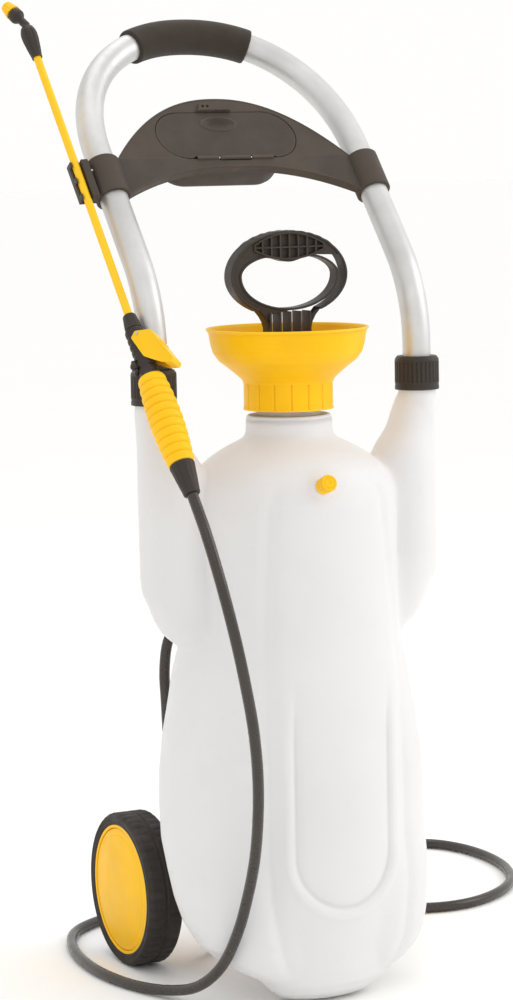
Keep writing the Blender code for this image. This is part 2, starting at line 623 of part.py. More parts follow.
# ---- wheels and axle ----------------------------------------------------------------------
def make_wheels():
    across = (0, math.pi / 2, 0)
    axle_at = (0, AXLE_Y, WHEEL_R)
    rod("axle", AXLE_R, -0.1296, 0.1296, "steel", 16, location=axle_at, rotation=across)
    tyre = ((0.0680, 0.0185), (0.0750, 0.0190), (0.0800, 0.0150), (0.0800, -0.0150), (0.0750, -0.0190),
            (0.0680, -0.0185))
    rim = ((0.0676, 0.0178), (0.0676, -0.0178), (0.0645, -0.0178), (0.0640, -0.0022), (0.0130, -0.0022),
           (0.0125, -0.0175), (AXLE_BORE_R, -0.0175), (AXLE_BORE_R, 0.0150), (0.0130, 0.0150),
           (0.0130, 0.0022), (0.0640, 0.0022), (0.0645, 0.0178))
    cap = ((0, 0.0212), (0.030, 0.0204), (0.0641, 0.0165), (0.0641, 0.0120), (0.0600, 0.0150), (0, 0.0180))
    for side, sign in (("left", -1), ("right", 1)):
        turn = (0, sign * math.pi / 2, 0)
        hub = (sign * WHEEL_X, AXLE_Y, WHEEL_R)
        turned(f"tyre_{side}", tyre, "rubber", 24, location=hub, rotation=turn)
        turned(f"wheel_rim_{side}", rim, "sprayer_yellow", 24, location=hub, rotation=turn)
        turned(f"hub_cap_{side}", cap, "sprayer_yellow", 24, location=hub, rotation=turn)
        ring(f"axle_retainer_{side}", 0.0105, AXLE_BORE_R, 0.1283, 0.1293, "steel", 12,
             location=axle_at, rotation=turn)
        ring(f"axle_spacer_{side}", 0.0095, AXLE_BORE_R, 0.0443, 0.0952, "warm_black", 12,
             location=axle_at, rotation=turn)

    bracket = box("axle_bracket", (-0.046, BACK_Y + GAP, 0.138), (0.046, 0.1405, 0.212), "warm_black")
    sideways = Matrix.Rotation(math.pi / 2, 4, "Z") @ UPRIGHT          # (x, y) becomes (Y, Z)
    cheek = [(0.1385, 0.210), (0.1520, 0.210), (0.2145, 0.088), (0.2135, 0.074), (0.2040, 0.0665),
             (0.1930, 0.0690), (0.1385, 0.141)]
    cheeks = [plate(f"cheek{s}", (cheek,), 0.008, flip=Matrix.Translation((s * 0.040, 0, 0)) @ sideways)
              for s in (-1, 1)]
    bpy.context.view_layer.update()
    boolean(bracket, joined("cut_cheeks", cheeks), "UNION")
    tie = box("cut_tie", (-0.042, 0.172, 0.118), (0.042, 0.178, 0.146))
    boolean(bracket, tie, "UNION")
    holes = [rod("cut_axle", AXLE_BORE_R, -0.060, 0.060, steps=16, location=axle_at, rotation=across)]
    profile = ((0, 0.0072), (0.0030, 0.0070), (0.0048, 0.0058), (0.0048, 0.0048), (0.0021, 0.0048),
               (0.0021, -0.0068), (0, -0.0068))
    for side, sign in (("left", -1), ("right", 1)):
        where = dict(location=(sign * BRACKET_SCREW_X, BACK_Y, BRACKET_SCREW_Z),
                     rotation=(-math.pi / 2, 0, 0))
        holes.append(rod("cut_screw", 0.0025, -0.010, 0.010, steps=12, **where))
        turned(f"bracket_screw_{side}", profile, "steel", 10, **where)
    bpy.context.view_layer.update()
    boolean(bracket, joined("cut_bracket_holes", holes), "DIFFERENCE")


# ---- funnel cap and pump ------------------------------------------------------------------
def make_pump():
    at = dict(location=(0, AXIS_Y, 0))
    funnel = ((0.0812, 0.6683), (0.0812, 0.6655), (0.0785, 0.6640), (0.0755, 0.6470), (0.0690, 0.6360),
              (0.0510, 0.6215), (0.0445, 0.6140), (0.0445, 0.5870), (0.0415, 0.5870), (0.0415, 0.6080),
              (0.0352, 0.6080), (0.0352, 0.5870), (0.0325, 0.5870), (0.0325, 0.6165), (0.0235, 0.6165),
              (0.0235, 0.6205), (0.0270, 0.6205), (0.0480, 0.6235), (0.0660, 0.6378), (0.0728, 0.6480),
              (0.0780, 0.6683))
    turned("funnel_cap", funnel, "sprayer_yellow", 24, **at)
    ring("cap_gasket", 0.0316, 0.0288, NECK_TOP + GAP, 0.6137, "rubber", 16, **at)
    floor = PUMP_REST_FLOOR
    barrel = ((0.0318, 0.6161), (0.0318, 0.6140), (0.0220, 0.6140), (0.0220, floor), (0.0035, floor),
              (0.0035, floor + 0.004), (0.0195, floor + 0.004), (0.0195, 0.6161))
    turned("pump_barrel", barrel, "natural_plastic", 16, **at)
    guide = ((0.0255, 0.6260), (0.0262, 0.6250), (0.0262, 0.6208), (0.0192, 0.6208), (0.0192, 0.6000),
             (0.0068, 0.6000), (0.0068, 0.6260))
    turned("pump_guide", guide, "warm_black", 16, **at)
    valve = ((0, floor + 0.0068), (0.0048, floor + 0.0060), (0.0048, floor + 0.0043),
             (0.0030, floor + 0.0043), (0.0030, floor - 0.0003), (0.0130, floor - 0.0003),
             (0.0130, floor - 0.0018), (0, floor - 0.0030))
    turned("check_valve", valve, "rubber", 12, **at)
    piston = ((0, 0.3640), (0.0063, 0.3640), (0.0063, 0.3768), (0.0165, 0.3768), (0.0165, 0.3713),
              (0.0130, 0.3713), (0.0130, 0.3617), (0.0165, 0.3617), (0.0165, 0.3580), (0, 0.3580))
    turned("pump_piston", piston, "natural_plastic", 16, **at)
    ring("piston_cup", 0.0190, 0.0134, 0.3620, 0.3710, "rubber", 16, **at)
    rod("pump_rod", 0.0060, 0.3643, 0.6640, "steel", 16, **at)
    make_pump_handle()


HANDLE_FOOT = 0.632
HANDLE_MID = 0.7195
HANDLE_DEPTH = 0.024


def make_pump_handle():
    """An oval ring with a finger bump under its grip, on a flat stem."""
    outer, inner = [], []
    half_x, half_up, half_down = 0.0645, 0.0440, 0.0410
    for i in range(-4, 20):
        turn = math.radians(i * 15)
        side, rise = math.cos(turn), math.sin(turn)
        outer.append((half_x * side, HANDLE_MID + (half_up if rise > 0 else half_down) * rise))
    stem = [(-0.0262, 0.6760), (-0.0236, 0.6680), (-0.0232, HANDLE_FOOT)]
    outline = [point for point in outer if abs(point[0]) > 0.0262 or point[1] > HANDLE_MID]
    outline += stem + [(-x, z) for x, z in reversed(stem)]
    for i in range(24):
        turn = math.radians(i * 15)
        side, rise = math.cos(turn), math.sin(turn)
        z = HANDLE_MID + (0.0215 if rise > 0 else 0.0320) * rise
        bump = 0.0080 * math.exp(-(side / 0.32) ** 2) if rise > 0 else 0.0
        inner.append((0.0525 * side, z - bump))
    handle = plate("pump_handle", (outline, list(reversed(inner))), HANDLE_DEPTH, "warm_black",
                   flip=UPRIGHT, location=(0, AXIS_Y, 0))
    rounded = handle.modifiers.new("round", "BEVEL")
    rounded.width = 0.0035
    rounded.segments = 1
    rounded.limit_method = "ANGLE"
    rounded.angle_limit = math.radians(50)
    socket = rod("cut_rod_socket", 0.0063, 0.600, 0.6643, location=(0, AXIS_Y, 0))
    boolean(handle, socket, "DIFFERENCE")


# ---- relief valve -------------------------------------------------------------------------
def make_relief():
    out = Vector((0, -math.sin(RELIEF_TILT), math.cos(RELIEF_TILT)))
    relief_frame = frame_empty("relief_frame", RELIEF_POINT, out, Vector((0, 0, -1)))
    at = dict(parent=relief_frame)
    body = ((0.0072, 0.0062), (0.0080, 0.0056), (0.0080, 0.0003), (0.0050, 0.0003), (0.0050, -0.0120),
            (0.0015, -0.0120), (0.0015, -0.0105), (0.0036, -0.0105), (0.0036, -0.0010), (0.0018, -0.0010),
            (0.0018, 0.0062))
    turned("relief_body", body, "sprayer_yellow", 12, **at)
    knob = ((0, 0.0158), (0.0070, 0.0158), (0.0084, 0.0146), (0.0084, 0.0075), (0.0078, 0.0066),
            (0.0014, 0.0066), (0.0014, -0.0080), (0.0032, -0.0080), (0.0032, -0.0088), (0, -0.0088))
    turned("relief_knob", knob, "sprayer_yellow", 12, **at)
    rod("relief_seal", 0.0031, -0.0102, -0.0091, "rubber", 12, **at)
    tube("relief_spring", helix(0.0026, 0.00035, -0.0046, -0.0013, 2), 0.00035, "steel", 1, **at)


# ---- liquid outlet ------------------------------------------------------------------------
PICKUP_FOOT = (0.0, 0.000, 0.050)


def make_outlet():
    back = (-math.pi / 2, 0, 0)                     # local Z points to +Y
    profile = ((0, 0.0172), (0.0078, 0.0172), (0.0078, 0.0044), (0.0125, 0.0044), (0.0125, 0.0003),
               (0.0080, 0.0003), (0.0080, -0.0480), (0.0035, -0.0480), (0.0035, -0.0100), (0, -0.0100))
    fitting = turned("outlet_fitting", profile, "warm_black", 12, location=OUTLET, rotation=back)
    drop = rod("cut_drop", 0.0072, -0.0235, 0.0068, steps=12, location=OUTLET + Vector((0, 0.0100, 0)))
    boolean(fitting, drop, "UNION")
    ring("outlet_locknut", 0.0135, 0.0097, -0.0440, -0.0383, "warm_black", 6,
         location=OUTLET, rotation=back)
    nut = ((0, -0.0238), (0.0075, -0.0238), (0.0075, -0.0200), (0.0104, -0.0205), (0.0104, -0.0330),
           (0.0075, -0.0430), (0, -0.0430))
    turned("outlet_hose_nut", nut, "warm_black", 12, location=OUTLET + Vector((0, 0.0100, 0)))
    inner_end = OUTLET + Vector((0, -0.0480 - GAP, 0))
    route = [inner_end, inner_end + Vector((0, -0.012, 0)), inner_end + Vector((0, -0.022, -0.001)),
             inner_end + Vector((0.001, -0.035, -0.012)), (-0.063, 0.047, 0.415), (-0.058, 0.045, 0.360),
             (-0.028, 0.025, 0.200), (-0.008, 0.005, 0.100), PICKUP_FOOT]
    path = smooth_route([tuple(point) for point in route], 0.020)
    tube("pickup_tube", path, 0.0050, "natural_plastic", 2)
    strainer = ((0, 0.0485), (0.0060, 0.0485), (0.0095, 0.0440), (0.0095, 0.0140), (0.0080, 0.0120),
                (0, 0.0120))
    turned("pickup_strainer", strainer, "warm_black", 12, location=PICKUP_FOOT[:2] + (0.0,))


# ---- lance --------------------------------------------------------------------------------
TRIGGER_PIVOT = (0.0, -0.004, -0.1860)
VALVE_R = 0.0098
STEM_Z = -0.2120


def make_lance():
    lance_frame = frame_empty("lance_frame", LANCE_POINT, LANCE_UP, TRIGGER_SIDE)
    at = dict(parent=lance_frame)
    ring("lance_tube", 0.0040, 0.0028, -0.1720, 0.1650, "sprayer_yellow", 12, **at)
    nozzle_nut = ((0, 0.1925), (0.0062, 0.1925), (0.0085, 0.1840), (0.0083, 0.1760), (0.0052, 0.1535),
                  (0.0043, 0.1535), (0.0043, 0.1653), (0, 0.1653))
    turned("nozzle_nut", nozzle_nut, "warm_black", 12, **at)
    lance_nut = ((0.0060, -0.1598), (0.0066, -0.1610), (0.0086, -0.1740), (0.0086, -0.1762),
                 (0.0043, -0.1762), (0.0043, -0.1598))
    turned("lance_nut", lance_nut, "warm_black", 12, **at)
    make_nozzle(lance_frame)

    body = turned("valve_body", ((0, -0.1765), (0.0086, -0.1765), (VALVE_R, -0.1785), (VALVE_R, -0.2309),
                                 (0.0080, -0.2309), (0.0080, -0.3330), (0, -0.3330)), "warm_black", 16, **at)
    grip = [(0.0083, -0.2312)]
    ribs = 5
    top, bottom = -0.2312, -0.3290
    for i in range(ribs * 2 + 1):
        share = i / (ribs * 2)
        z = top + (bottom - top) * share
        swell = 0.0125 + 0.0042 * math.sin(math.pi * min(1.0, share * 0.95 + 0.03)) ** 0.8
        grip.append((swell - (0.0010 if i % 2 else 0.0), z))
    grip.append((0.0083, bottom))
    turned("grip_sleeve", grip, "sprayer_yellow", 16, **at)
    hose_nut = ((0, -0.3333), (0.0083, -0.3333), (0.0083, -0.3293), (0.0122, -0.3293), (0.0122, -0.3350),
                (0.0085, -0.3590), (0.0078, -0.3620), (0, -0.3620))
    turned("hose_nut", hose_nut, "warm_black", 12, **at)
    make_trigger(lance_frame, body)


def make_nozzle(lance_frame):
    nozzle_frame = bpy.data.objects.new("nozzle_frame", None)
    PARTS.objects.link(nozzle_frame)
    nozzle_frame.parent = lance_frame
    nozzle_frame.location = (0, 0, 0.1962)
    nozzle_frame.rotation_euler = (-NOZZLE_BEND, 0, 0)
    elbow = turned("nozzle_elbow", ((0, 0.0215), (0.0070, 0.0215), (0.0078, 0.0180), (0.0078, 0.0135),
                                    (0.0055, 0.0105), (0.0042, 0.0080), (0.0042, -0.0020), (0, -0.0020)),
                   "warm_black", 12, parent=nozzle_frame)
    neck = rod("cut_neck", 0.0042, 0.1928, 0.1975, steps=12, parent=lance_frame)
    boolean(elbow, neck, "UNION")
    cap = ((0, 0.0352), (0.0048, 0.0352), (0.0058, 0.0340), (0.0080, 0.0225), (0.0080, 0.0218), (0, 0.0218))
    turned("nozzle_cap", cap, "sprayer_yellow", 16, parent=nozzle_frame)


def make_trigger(lance_frame, body):
    at = dict(parent=lance_frame)
    pivot = Vector(TRIGGER_PIVOT)
    # side view: distance from the lance axis towards the trigger, height along the lance
    side = ((-0.0030, -0.1840), (0.0030, -0.1790), (0.0180, -0.1850), (0.0225, -0.2020), (0.0275, -0.2200),
            (0.0250, -0.2225), (0.0170, -0.2190), (0.0110, -0.2160), (0.0030, -0.2080))
    turn_side = Matrix(((0, 0, -1, 0), (-1, 0, 0, 0), (0, 1, 0, 0), (0, 0, 0, 1)))    # (out, up) to (-Y, Z)
    trigger = plate("trigger", (side,), 0.0200, "sprayer_yellow", parent=lance_frame, location=pivot,
                    flip=Matrix.Translation(-pivot) @ turn_side)
    inner = ((-0.0200, -0.1700), (0.0118, -0.1700), (0.0118, -0.2000), (0.0200, -0.2400), (-0.0200, -0.2400))
    channel = plate("cut_trigger_channel", (inner,), 0.0172, parent=lance_frame, location=pivot,
                    flip=Matrix.Translation(-pivot) @ turn_side)
    boolean(trigger, channel, "DIFFERENCE")
    across = (0, math.pi / 2, 0)
    pin_bore = rod("cut_pin", 0.0018, -0.020, 0.020, steps=12, location=pivot, rotation=across, **at)
    boolean(trigger, pin_bore, "DIFFERENCE")
    boolean(body, pin_bore, "DIFFERENCE")
    rod("trigger_pin", 0.0015, -0.0104, 0.0127, "steel", 12, location=pivot, rotation=across, **at)
    flats = [box(f"flat{s}", (-0.0060 + s * 0.0143, -0.013, -0.2245), (0.0060 + s * 0.0143, 0.013, -0.1755),
                 **at) for s in (-1, 1)]
    towards = (math.pi / 2, 0, 0)                   # local Z points to the trigger side
    stem_at = (0, 0, STEM_Z)
    stem_hole = rod("cut_stem", 0.0021, 0.0020, 0.030, steps=12, location=stem_at, rotation=towards, **at)
    bpy.context.view_layer.update()
    boolean(body, joined("cut_valve_body", flats + [stem_hole]), "DIFFERENCE")
    rod("valve_stem", 0.0018, 0.0070, 0.0139, "steel", 12, location=stem_at, rotation=towards, **at)
    tube("trigger_spring", helix(0.0024, 0.0003, 0.0104, 0.0122, 2), 0.0003, "steel", 1,
         location=pivot, rotation=across, **at)


# ---- hose ---------------------------------------------------------------------------------
# From the tank's outlet down its back, round the loop on the floor at the right, behind the
# wheels, along the floor at the left, and up in front to the lance.
HOSE_ROUTE = (
    (-0.0660, 0.1460, 0.4105), (-0.0661, 0.1460, 0.4030), (-0.0700, 0.1465, 0.3870),
    (-0.0810, 0.1475, 0.3670), (-0.0945, 0.1455, 0.3480), (-0.1010, 0.1420, 0.3180),
    (-0.1010, 0.1400, 0.2850), (-0.0985, 0.1420, 0.2400), (-0.0900, 0.1530, 0.1800),
    (-0.0790, 0.1660, 0.1280), (-0.0710, 0.1750, 0.0850), (-0.0620, 0.1810, 0.0480),
    (-0.0450, 0.1880, 0.0190), (-0.0120, 0.2050, 0.0070), (0.0400, 0.2480, 0.0060),
    (0.1100, 0.3230, 0.0060), (0.1850, 0.3980, 0.0060), (0.2600, 0.4620, 0.0060),
    (0.3200, 0.4930, 0.0060), (0.3680, 0.4980, 0.0060), (0.4000, 0.4800, 0.0060),
    (0.4180, 0.4450, 0.0060), (0.4240, 0.3950, 0.0060), (0.4150, 0.3350, 0.0060),
    (0.3850, 0.2750, 0.0060), (0.3400, 0.2350, 0.0060), (0.2900, 0.2160, 0.0060),
    (0.2450, 0.2220, 0.0060), (0.2000, 0.2480, 0.0090), (0.1550, 0.2840, 0.0150),
    (0.1080, 0.3190, 0.0178), (0.0550, 0.3450, 0.0140), (0.0000, 0.3620, 0.0080),
    (-0.0500, 0.3660, 0.0060), (-0.0950, 0.3530, 0.0060), (-0.1330, 0.3230, 0.0060),
    (-0.1560, 0.2770, 0.0060), (-0.1690, 0.2160, 0.0060), (-0.1700, 0.1540, 0.0060),
    (-0.1580, 0.1000, 0.0060), (-0.1400, 0.0560, 0.0100), (-0.1275, 0.0180, 0.0220),
    (-0.1165, -0.0120, 0.0470), (-0.1095, -0.0360, 0.0850), (-0.1065, -0.0560, 0.1280),
    (-0.1085, -0.0790, 0.1760), (-0.1160, -0.1030, 0.2430), (-0.1250, -0.1150, 0.2980),
    (-0.1350, -0.1200, 0.3450), (-0.1445, -0.1190, 0.3920), (-0.1535, -0.1090, 0.4440),
)


def make_hose():
    """The last points follow the lance's own line into its hose nut."""
    nut_end = LANCE_POINT - LANCE_UP * (0.3620 + GAP)
    route = list(HOSE_ROUTE) + [tuple(nut_end - LANCE_UP * back) for back in (0.040, 0.018, 0.0)]
    tube("hose", smooth_route(route, 0.036), HOSE_R, "hose_black", 2)


make_tank()
make_handle()
tray_frame_empty, tray_object = make_tray()
make_holders(tray_frame_empty, tray_object)
make_wheels()
make_pump()
make_relief()
make_outlet()
make_lance()
make_hose()
for piece in PARTS.objects:
    if piece.type == "MESH":
        piece.data.shade_smooth()
        piece.data.set_sharp_from_angle(angle=math.radians(35))
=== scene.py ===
"""Looks of the wheeled sprayer cart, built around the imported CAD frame. Metres, +Z up, front -Y."""
from math import copysign, cos, exp, pi, radians, sin, tan

import bmesh
import bpy
import numpy as np
from mathutils import Matrix, Vector


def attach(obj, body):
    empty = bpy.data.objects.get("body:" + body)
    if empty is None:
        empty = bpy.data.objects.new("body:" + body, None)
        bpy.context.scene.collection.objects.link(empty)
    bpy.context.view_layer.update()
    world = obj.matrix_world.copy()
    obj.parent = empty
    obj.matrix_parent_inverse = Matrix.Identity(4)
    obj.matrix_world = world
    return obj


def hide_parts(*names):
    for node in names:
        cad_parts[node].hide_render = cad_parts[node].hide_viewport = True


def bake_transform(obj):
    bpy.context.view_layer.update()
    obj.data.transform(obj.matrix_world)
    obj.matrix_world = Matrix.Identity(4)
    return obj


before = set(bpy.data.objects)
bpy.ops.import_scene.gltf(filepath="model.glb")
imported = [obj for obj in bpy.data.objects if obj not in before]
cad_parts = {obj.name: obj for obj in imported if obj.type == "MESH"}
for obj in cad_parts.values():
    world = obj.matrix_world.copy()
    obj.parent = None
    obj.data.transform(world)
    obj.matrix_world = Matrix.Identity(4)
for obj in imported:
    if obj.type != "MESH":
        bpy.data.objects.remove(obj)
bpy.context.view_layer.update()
for leftover in ("Cube", "Camera", "Light"):
    if leftover in bpy.data.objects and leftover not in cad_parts:
        bpy.data.objects.remove(bpy.data.objects[leftover])

# ---- sizes shared with the CAD frame ----
AXIS_Y = 0.05
BACK_Y = 0.136
HORN_X = 0.1464
SOCKET_FLOOR = 0.458
TUBE_R = 0.01425
LEAN = radians(40.7)
CORNER_Z = 0.697
BEND_R = 0.146
ARCH_START = 0.19
ARCH_RISE = 0.16
ARCH_POWER = 2.15
GRIP_TURN = radians(64.3)
TRAY_UP = 0.155
WHEEL_X = 0.113
AXLE_Y = 0.2015
WHEEL_R = 0.08
AXLE_BORE = 6.3             # radius of the holes round the axle, mm
LANCE_POINT = Vector((-0.1777, 0.1445, 0.8156))
LANCE_UP = Vector((-0.0533, 0.729, 1.0)).normalized()
TRIGGER_SIDE = Vector((0.7, -0.58, 0.39))
RELIEF_POINT = Vector((-0.009, -0.039, 0.5175))
RELIEF_TILT = radians(70)
OUTLET = Vector((-0.066, 0.136, 0.455))
NOZZLE_BEND = radians(22)
HOSE_R = 0.0055
HOSE_NUT_END = 0.3623       # from the lance's clip down to the end of its hose nut
SIDES = (("left", -1), ("right", 1))


def linked(name, data):
    """A new object in the scene."""
    obj = bpy.data.objects.new(name, data)
    bpy.context.scene.collection.objects.link(obj)
    return obj


# ---- camera ----
CAMERA_AT = (-1.3044, -2.5565, 0.8433)
CAMERA_LENS = 105.66


def make_camera():
    heading, down, roll = radians(25.92), radians(6.8), radians(1.12)
    look = Vector((sin(heading) * cos(down), cos(heading) * cos(down), -sin(down)))
    right = Vector((cos(heading), -sin(heading), 0))
    up = right.cross(look)
    x_axis = right * cos(roll) - up * sin(roll)
    y_axis = right * sin(roll) + up * cos(roll)
    data = bpy.data.cameras.new("camera")
    data.lens = CAMERA_LENS
    camera = linked("camera", data)
    turn = Matrix((x_axis, y_axis, -look)).transposed().to_4x4()
    camera.matrix_world = Matrix.Translation(CAMERA_AT) @ turn
    bpy.context.scene.camera = camera


make_camera()


# ---- materials ----
def linear(*channels):
    """Linear colour with alpha, from red, green and blue as 0-255 display values."""
    shares = [value / 255 for value in channels]
    return tuple(v / 12.92 if v < 0.0405 else ((v + 0.055) / 1.055) ** 2.4 for v in shares) + (1.0,)


def tint(colour, factor):
    return tuple(min(1.0, channel * factor) for channel in colour[:3]) + (1.0,)


class Finish:
    """A procedural material, built up layer by layer on one Principled shader."""

    def __init__(self, name, **constants):
        self.material = bpy.data.materials.new(name)
        self.material.use_nodes = True
        tree = self.material.node_tree
        self.nodes, self.links = tree.nodes, tree.links
        self.shader = self.nodes["Principled BSDF"]
        for socket, value in constants.items():
            self.shader.inputs[socket.replace("_", " ")].default_value = value
        self.coordinates = self.nodes.new("ShaderNodeTexCoord").outputs["Object"]
        self.colour = None
        self.height = None

    def texture(self, kind, scale, stretch=(1, 1, 1)):
        """A texture node laid out on the piece's own coordinates."""
        mapping = self.nodes.new("ShaderNodeMapping")
        mapping.inputs["Scale"].default_value = stretch
        self.links.new(self.coordinates, mapping.inputs["Vector"])
        texture = self.nodes.new(kind)
        texture.inputs["Scale"].default_value = scale
        self.links.new(mapping.outputs["Vector"], texture.inputs["Vector"])
        return texture

    def noise(self, scale, detail, stretch=(1, 1, 1)):
        noise = self.texture("ShaderNodeTexNoise", scale, stretch)
        noise.inputs["Detail"].default_value = detail
        noise.inputs["Roughness"].default_value = 0.55
        return noise.outputs["Fac"]

    def cells(self, scale):
        return self.texture("ShaderNodeTexVoronoi", scale).outputs["Distance"]

    def spread(self, value, low, high, to_low, to_high):
        mapped = self.nodes.new("ShaderNodeMapRange")
        for index, number in enumerate((low, high, to_low, to_high), 1):
            mapped.inputs[index].default_value = number
        self.links.new(value, mapped.inputs[0])
        return mapped.outputs[0]

    def blotch(self, colour, amount, scale, start, end, stretch=(1, 1, 1)):
        """Paints a colour in patches, where the noise goes from start to end."""
        self.over(self.spread(self.noise(scale, 6.0, stretch), start, end, 0.0, amount), colour)

    def paint(self, low, high, scale, detail=3.0):
        """Base colour wanders between two tones."""
        ramp = self.nodes.new("ShaderNodeValToRGB")
        for element, position, tone in zip(ramp.color_ramp.elements, (0.3, 0.7), (low, high)):
            element.position = position
            element.color = tone
        self.links.new(self.noise(scale, detail), ramp.inputs["Fac"])
        self.colour = ramp.outputs["Color"]

    def over(self, mask, colour):
        """Paints a colour over the base where the mask is 1."""
        mix = self.nodes.new("ShaderNodeMix")
        mix.data_type = "RGBA"
        self.links.new(mask, mix.inputs[0])
        self.links.new(self.colour, mix.inputs[6])
        mix.inputs[7].default_value = colour
        self.colour = mix.outputs[2]

    def by_curve(self, colour, amount, start, end):
        """Paints a colour where the surface's pointiness goes from start to end."""
        pointy = self.nodes.new("ShaderNodeNewGeometry").outputs["Pointiness"]
        self.over(self.spread(pointy, start, end, 0.0, amount), colour)

    def edges(self, colour, amount):
        """Painted highlight: a lighter colour along the sharper edges."""
        self.by_curve(colour, amount, 0.505, 0.56)

    def hollows(self, colour, amount):
        """Painted shade: a darker colour where the surface curves inward."""
        self.by_curve(colour, amount, 0.495, 0.44)

    def gloss(self, low, high, scale, stretch=(1, 1, 1)):
        roughness = self.spread(self.noise(scale, 5.0, stretch), 0.3, 0.7, low, high)
        self.links.new(roughness, self.shader.inputs["Roughness"])

    def bump(self, value, depth, strength):
        node = self.nodes.new("ShaderNodeBump")
        node.inputs["Strength"].default_value = strength
        node.inputs["Distance"].default_value = depth
        self.links.new(value, node.inputs["Height"])
        if self.height is not None:
            self.links.new(self.height, node.inputs["Normal"])
        self.height = node.outputs["Normal"]

    def grain(self, scale, detail, depth, strength):
        self.bump(self.noise(scale, detail), depth, strength)

    def done(self):
        if self.colour is not None:
            self.links.new(self.colour, self.shader.inputs["Base Color"])
        if self.height is not None:
            self.links.new(self.height, self.shader.inputs["Normal"])
        return self.material


def tank_material():
    """Natural polyethylene: milky, a little uneven from blow moulding, with light passing into it."""
    colour = linear(229, 226, 225)
    finish = Finish("natural polyethylene", Subsurface_Weight=0.35, Subsurface_Scale=0.01,
                    Subsurface_Radius=(1.0, 0.85, 0.7), IOR=1.5, Specular_IOR_Level=0.42)
    finish.paint(tint(colour, 0.965), tint(colour, 1.02), 7.0)
    finish.blotch(linear(208, 203, 198), 0.15, 70, 0.62, 0.8)
    # painted shade: the hollows darker
    finish.hollows(linear(190, 185, 180), 0.6)
    finish.gloss(0.36, 0.52, 30)
    finish.grain(16, 2.0, 0.0011, 0.35)
    finish.grain(420, 4.0, 0.00012, 0.5)
    return finish.done()


def yellow_material():
    colour = linear(250, 192, 4)
    finish = Finish("satin yellow plastic", Subsurface_Weight=0.05, Subsurface_Scale=0.003,
                    Subsurface_Radius=(1.0, 0.5, 0.1), Specular_IOR_Level=0.22)
    finish.paint(tint(colour, 0.93), tint(colour, 1.03), 18.0)
    # painted shade: the hollows darker orange
    finish.hollows(linear(214, 140, 6), 0.6)
    # painted highlight: the sharper edges lighter
    finish.edges(linear(255, 214, 70), 0.45)
    finish.gloss(0.34, 0.5, 55)
    finish.grain(950, 5.0, 0.0001, 0.6)
    return finish.done()


def black_material(name, shade, low, high, grain, depth):
    """Warm black moulded plastic with a spark-eroded grain."""
    colour = linear(*shade)
    finish = Finish(name, Specular_IOR_Level=0.3)
    finish.paint(tint(colour, 0.86), tint(colour, 1.14), 24.0)
    # painted shade: the hollows darker
    finish.hollows(tint(colour, 0.55), 0.7)
    # painted highlight: the sharper edges lighter
    finish.edges(tint(colour, 2.1), 0.55)
    finish.gloss(low, high, 60)
    finish.bump(finish.cells(grain), depth, 0.55)
    finish.grain(grain * 0.6, 4.0, depth, 0.5)
    return finish.done()


def aluminium_material():
    """Satin anodised tube, with fine marks along its length."""
    finish = Finish("satin aluminium", Metallic=0.8)
    finish.paint(linear(196, 195, 194), linear(218, 217, 216), 12.0, 4.0)
    finish.blotch(linear(190, 188, 184), 0.22, 260, 0.55, 0.8, (1, 1, 0.06))
    finish.gloss(0.42, 0.55, 120, (1, 1, 0.1))
    finish.bump(finish.noise(900, 3.0, (1, 1, 0.05)), 0.00003, 0.4)
    return finish.done()


def steel_material():
    finish = Finish("zinc plated steel", Metallic=1.0)
    finish.paint(linear(170, 170, 168), linear(205, 204, 200), 90.0, 5.0)
    # painted highlight: the sharper edges lighter
    finish.edges(linear(235, 235, 232), 0.5)
    finish.gloss(0.24, 0.42, 220)
    finish.grain(1400, 3.0, 0.00003, 0.4)
    return finish.done()


def foam_material():
    """Closed-cell foam sleeve: matt, finely pitted, with a faint nap."""
    colour = linear(57, 49, 42)
    finish = Finish("foam sleeve", Sheen_Weight=0.1, Sheen_Roughness=0.6, Specular_IOR_Level=0.2)
    finish.paint(tint(colour, 0.92), tint(colour, 1.08), 60.0, 5.0)
    # painted shade: the pits, sunk by the bump below, darker
    finish.over(finish.spread(finish.cells(1500), 0.0, 0.18, 0.45, 0.0), tint(colour, 0.55))
    finish.gloss(0.82, 0.96, 90)
    finish.bump(finish.cells(1500), 0.00025, 0.7)
    finish.grain(300, 5.0, 0.0003, 0.5)
    return finish.done()


def rubber_material(name, shade, dust):
    """Moulded rubber with a little pale dust in patches, and painted shade in its low places."""
    colour = linear(*shade)
    finish = Finish(name, Specular_IOR_Level=0.35)
    finish.paint(tint(colour, 0.82), tint(colour, 1.18), 35.0, 5.0)
    finish.blotch(linear(120, 110, 98), dust, 22, 0.56, 0.85)
    # painted shade: the hollows darker
    finish.hollows(tint(colour, 0.5), 0.6)
    # painted highlight: the sharper edges lighter
    finish.edges(tint(colour, 1.9), 0.4)
    finish.gloss(0.58, 0.82, 80)
    finish.grain(700, 5.0, 0.00018, 0.6)
    return finish.done()


def hose_material():
    """Smooth extruded hose: glossy, with slight waves from its own winding."""
    colour = linear(50, 43, 36)
    finish = Finish("glossy hose", Specular_IOR_Level=0.55)
    finish.paint(tint(colour, 0.86), tint(colour, 1.12), 28.0)
    finish.blotch(linear(112, 104, 94), 0.14, 40, 0.6, 0.85)
    finish.gloss(0.2, 0.34, 70)
    finish.grain(240, 4.0, 0.0001, 0.5)
    return finish.done()


def natural_material():
    colour = linear(226, 223, 214)
    finish = Finish("natural plastic", Subsurface_Weight=0.15, Subsurface_Scale=0.004)
    finish.paint(tint(colour, 0.94), tint(colour, 1.02), 40.0)
    # painted shade: the hollows darker
    finish.hollows(linear(190, 184, 170), 0.5)
    finish.gloss(0.34, 0.5, 80)
    finish.grain(900, 4.0, 0.00008, 0.5)
    return finish.done()


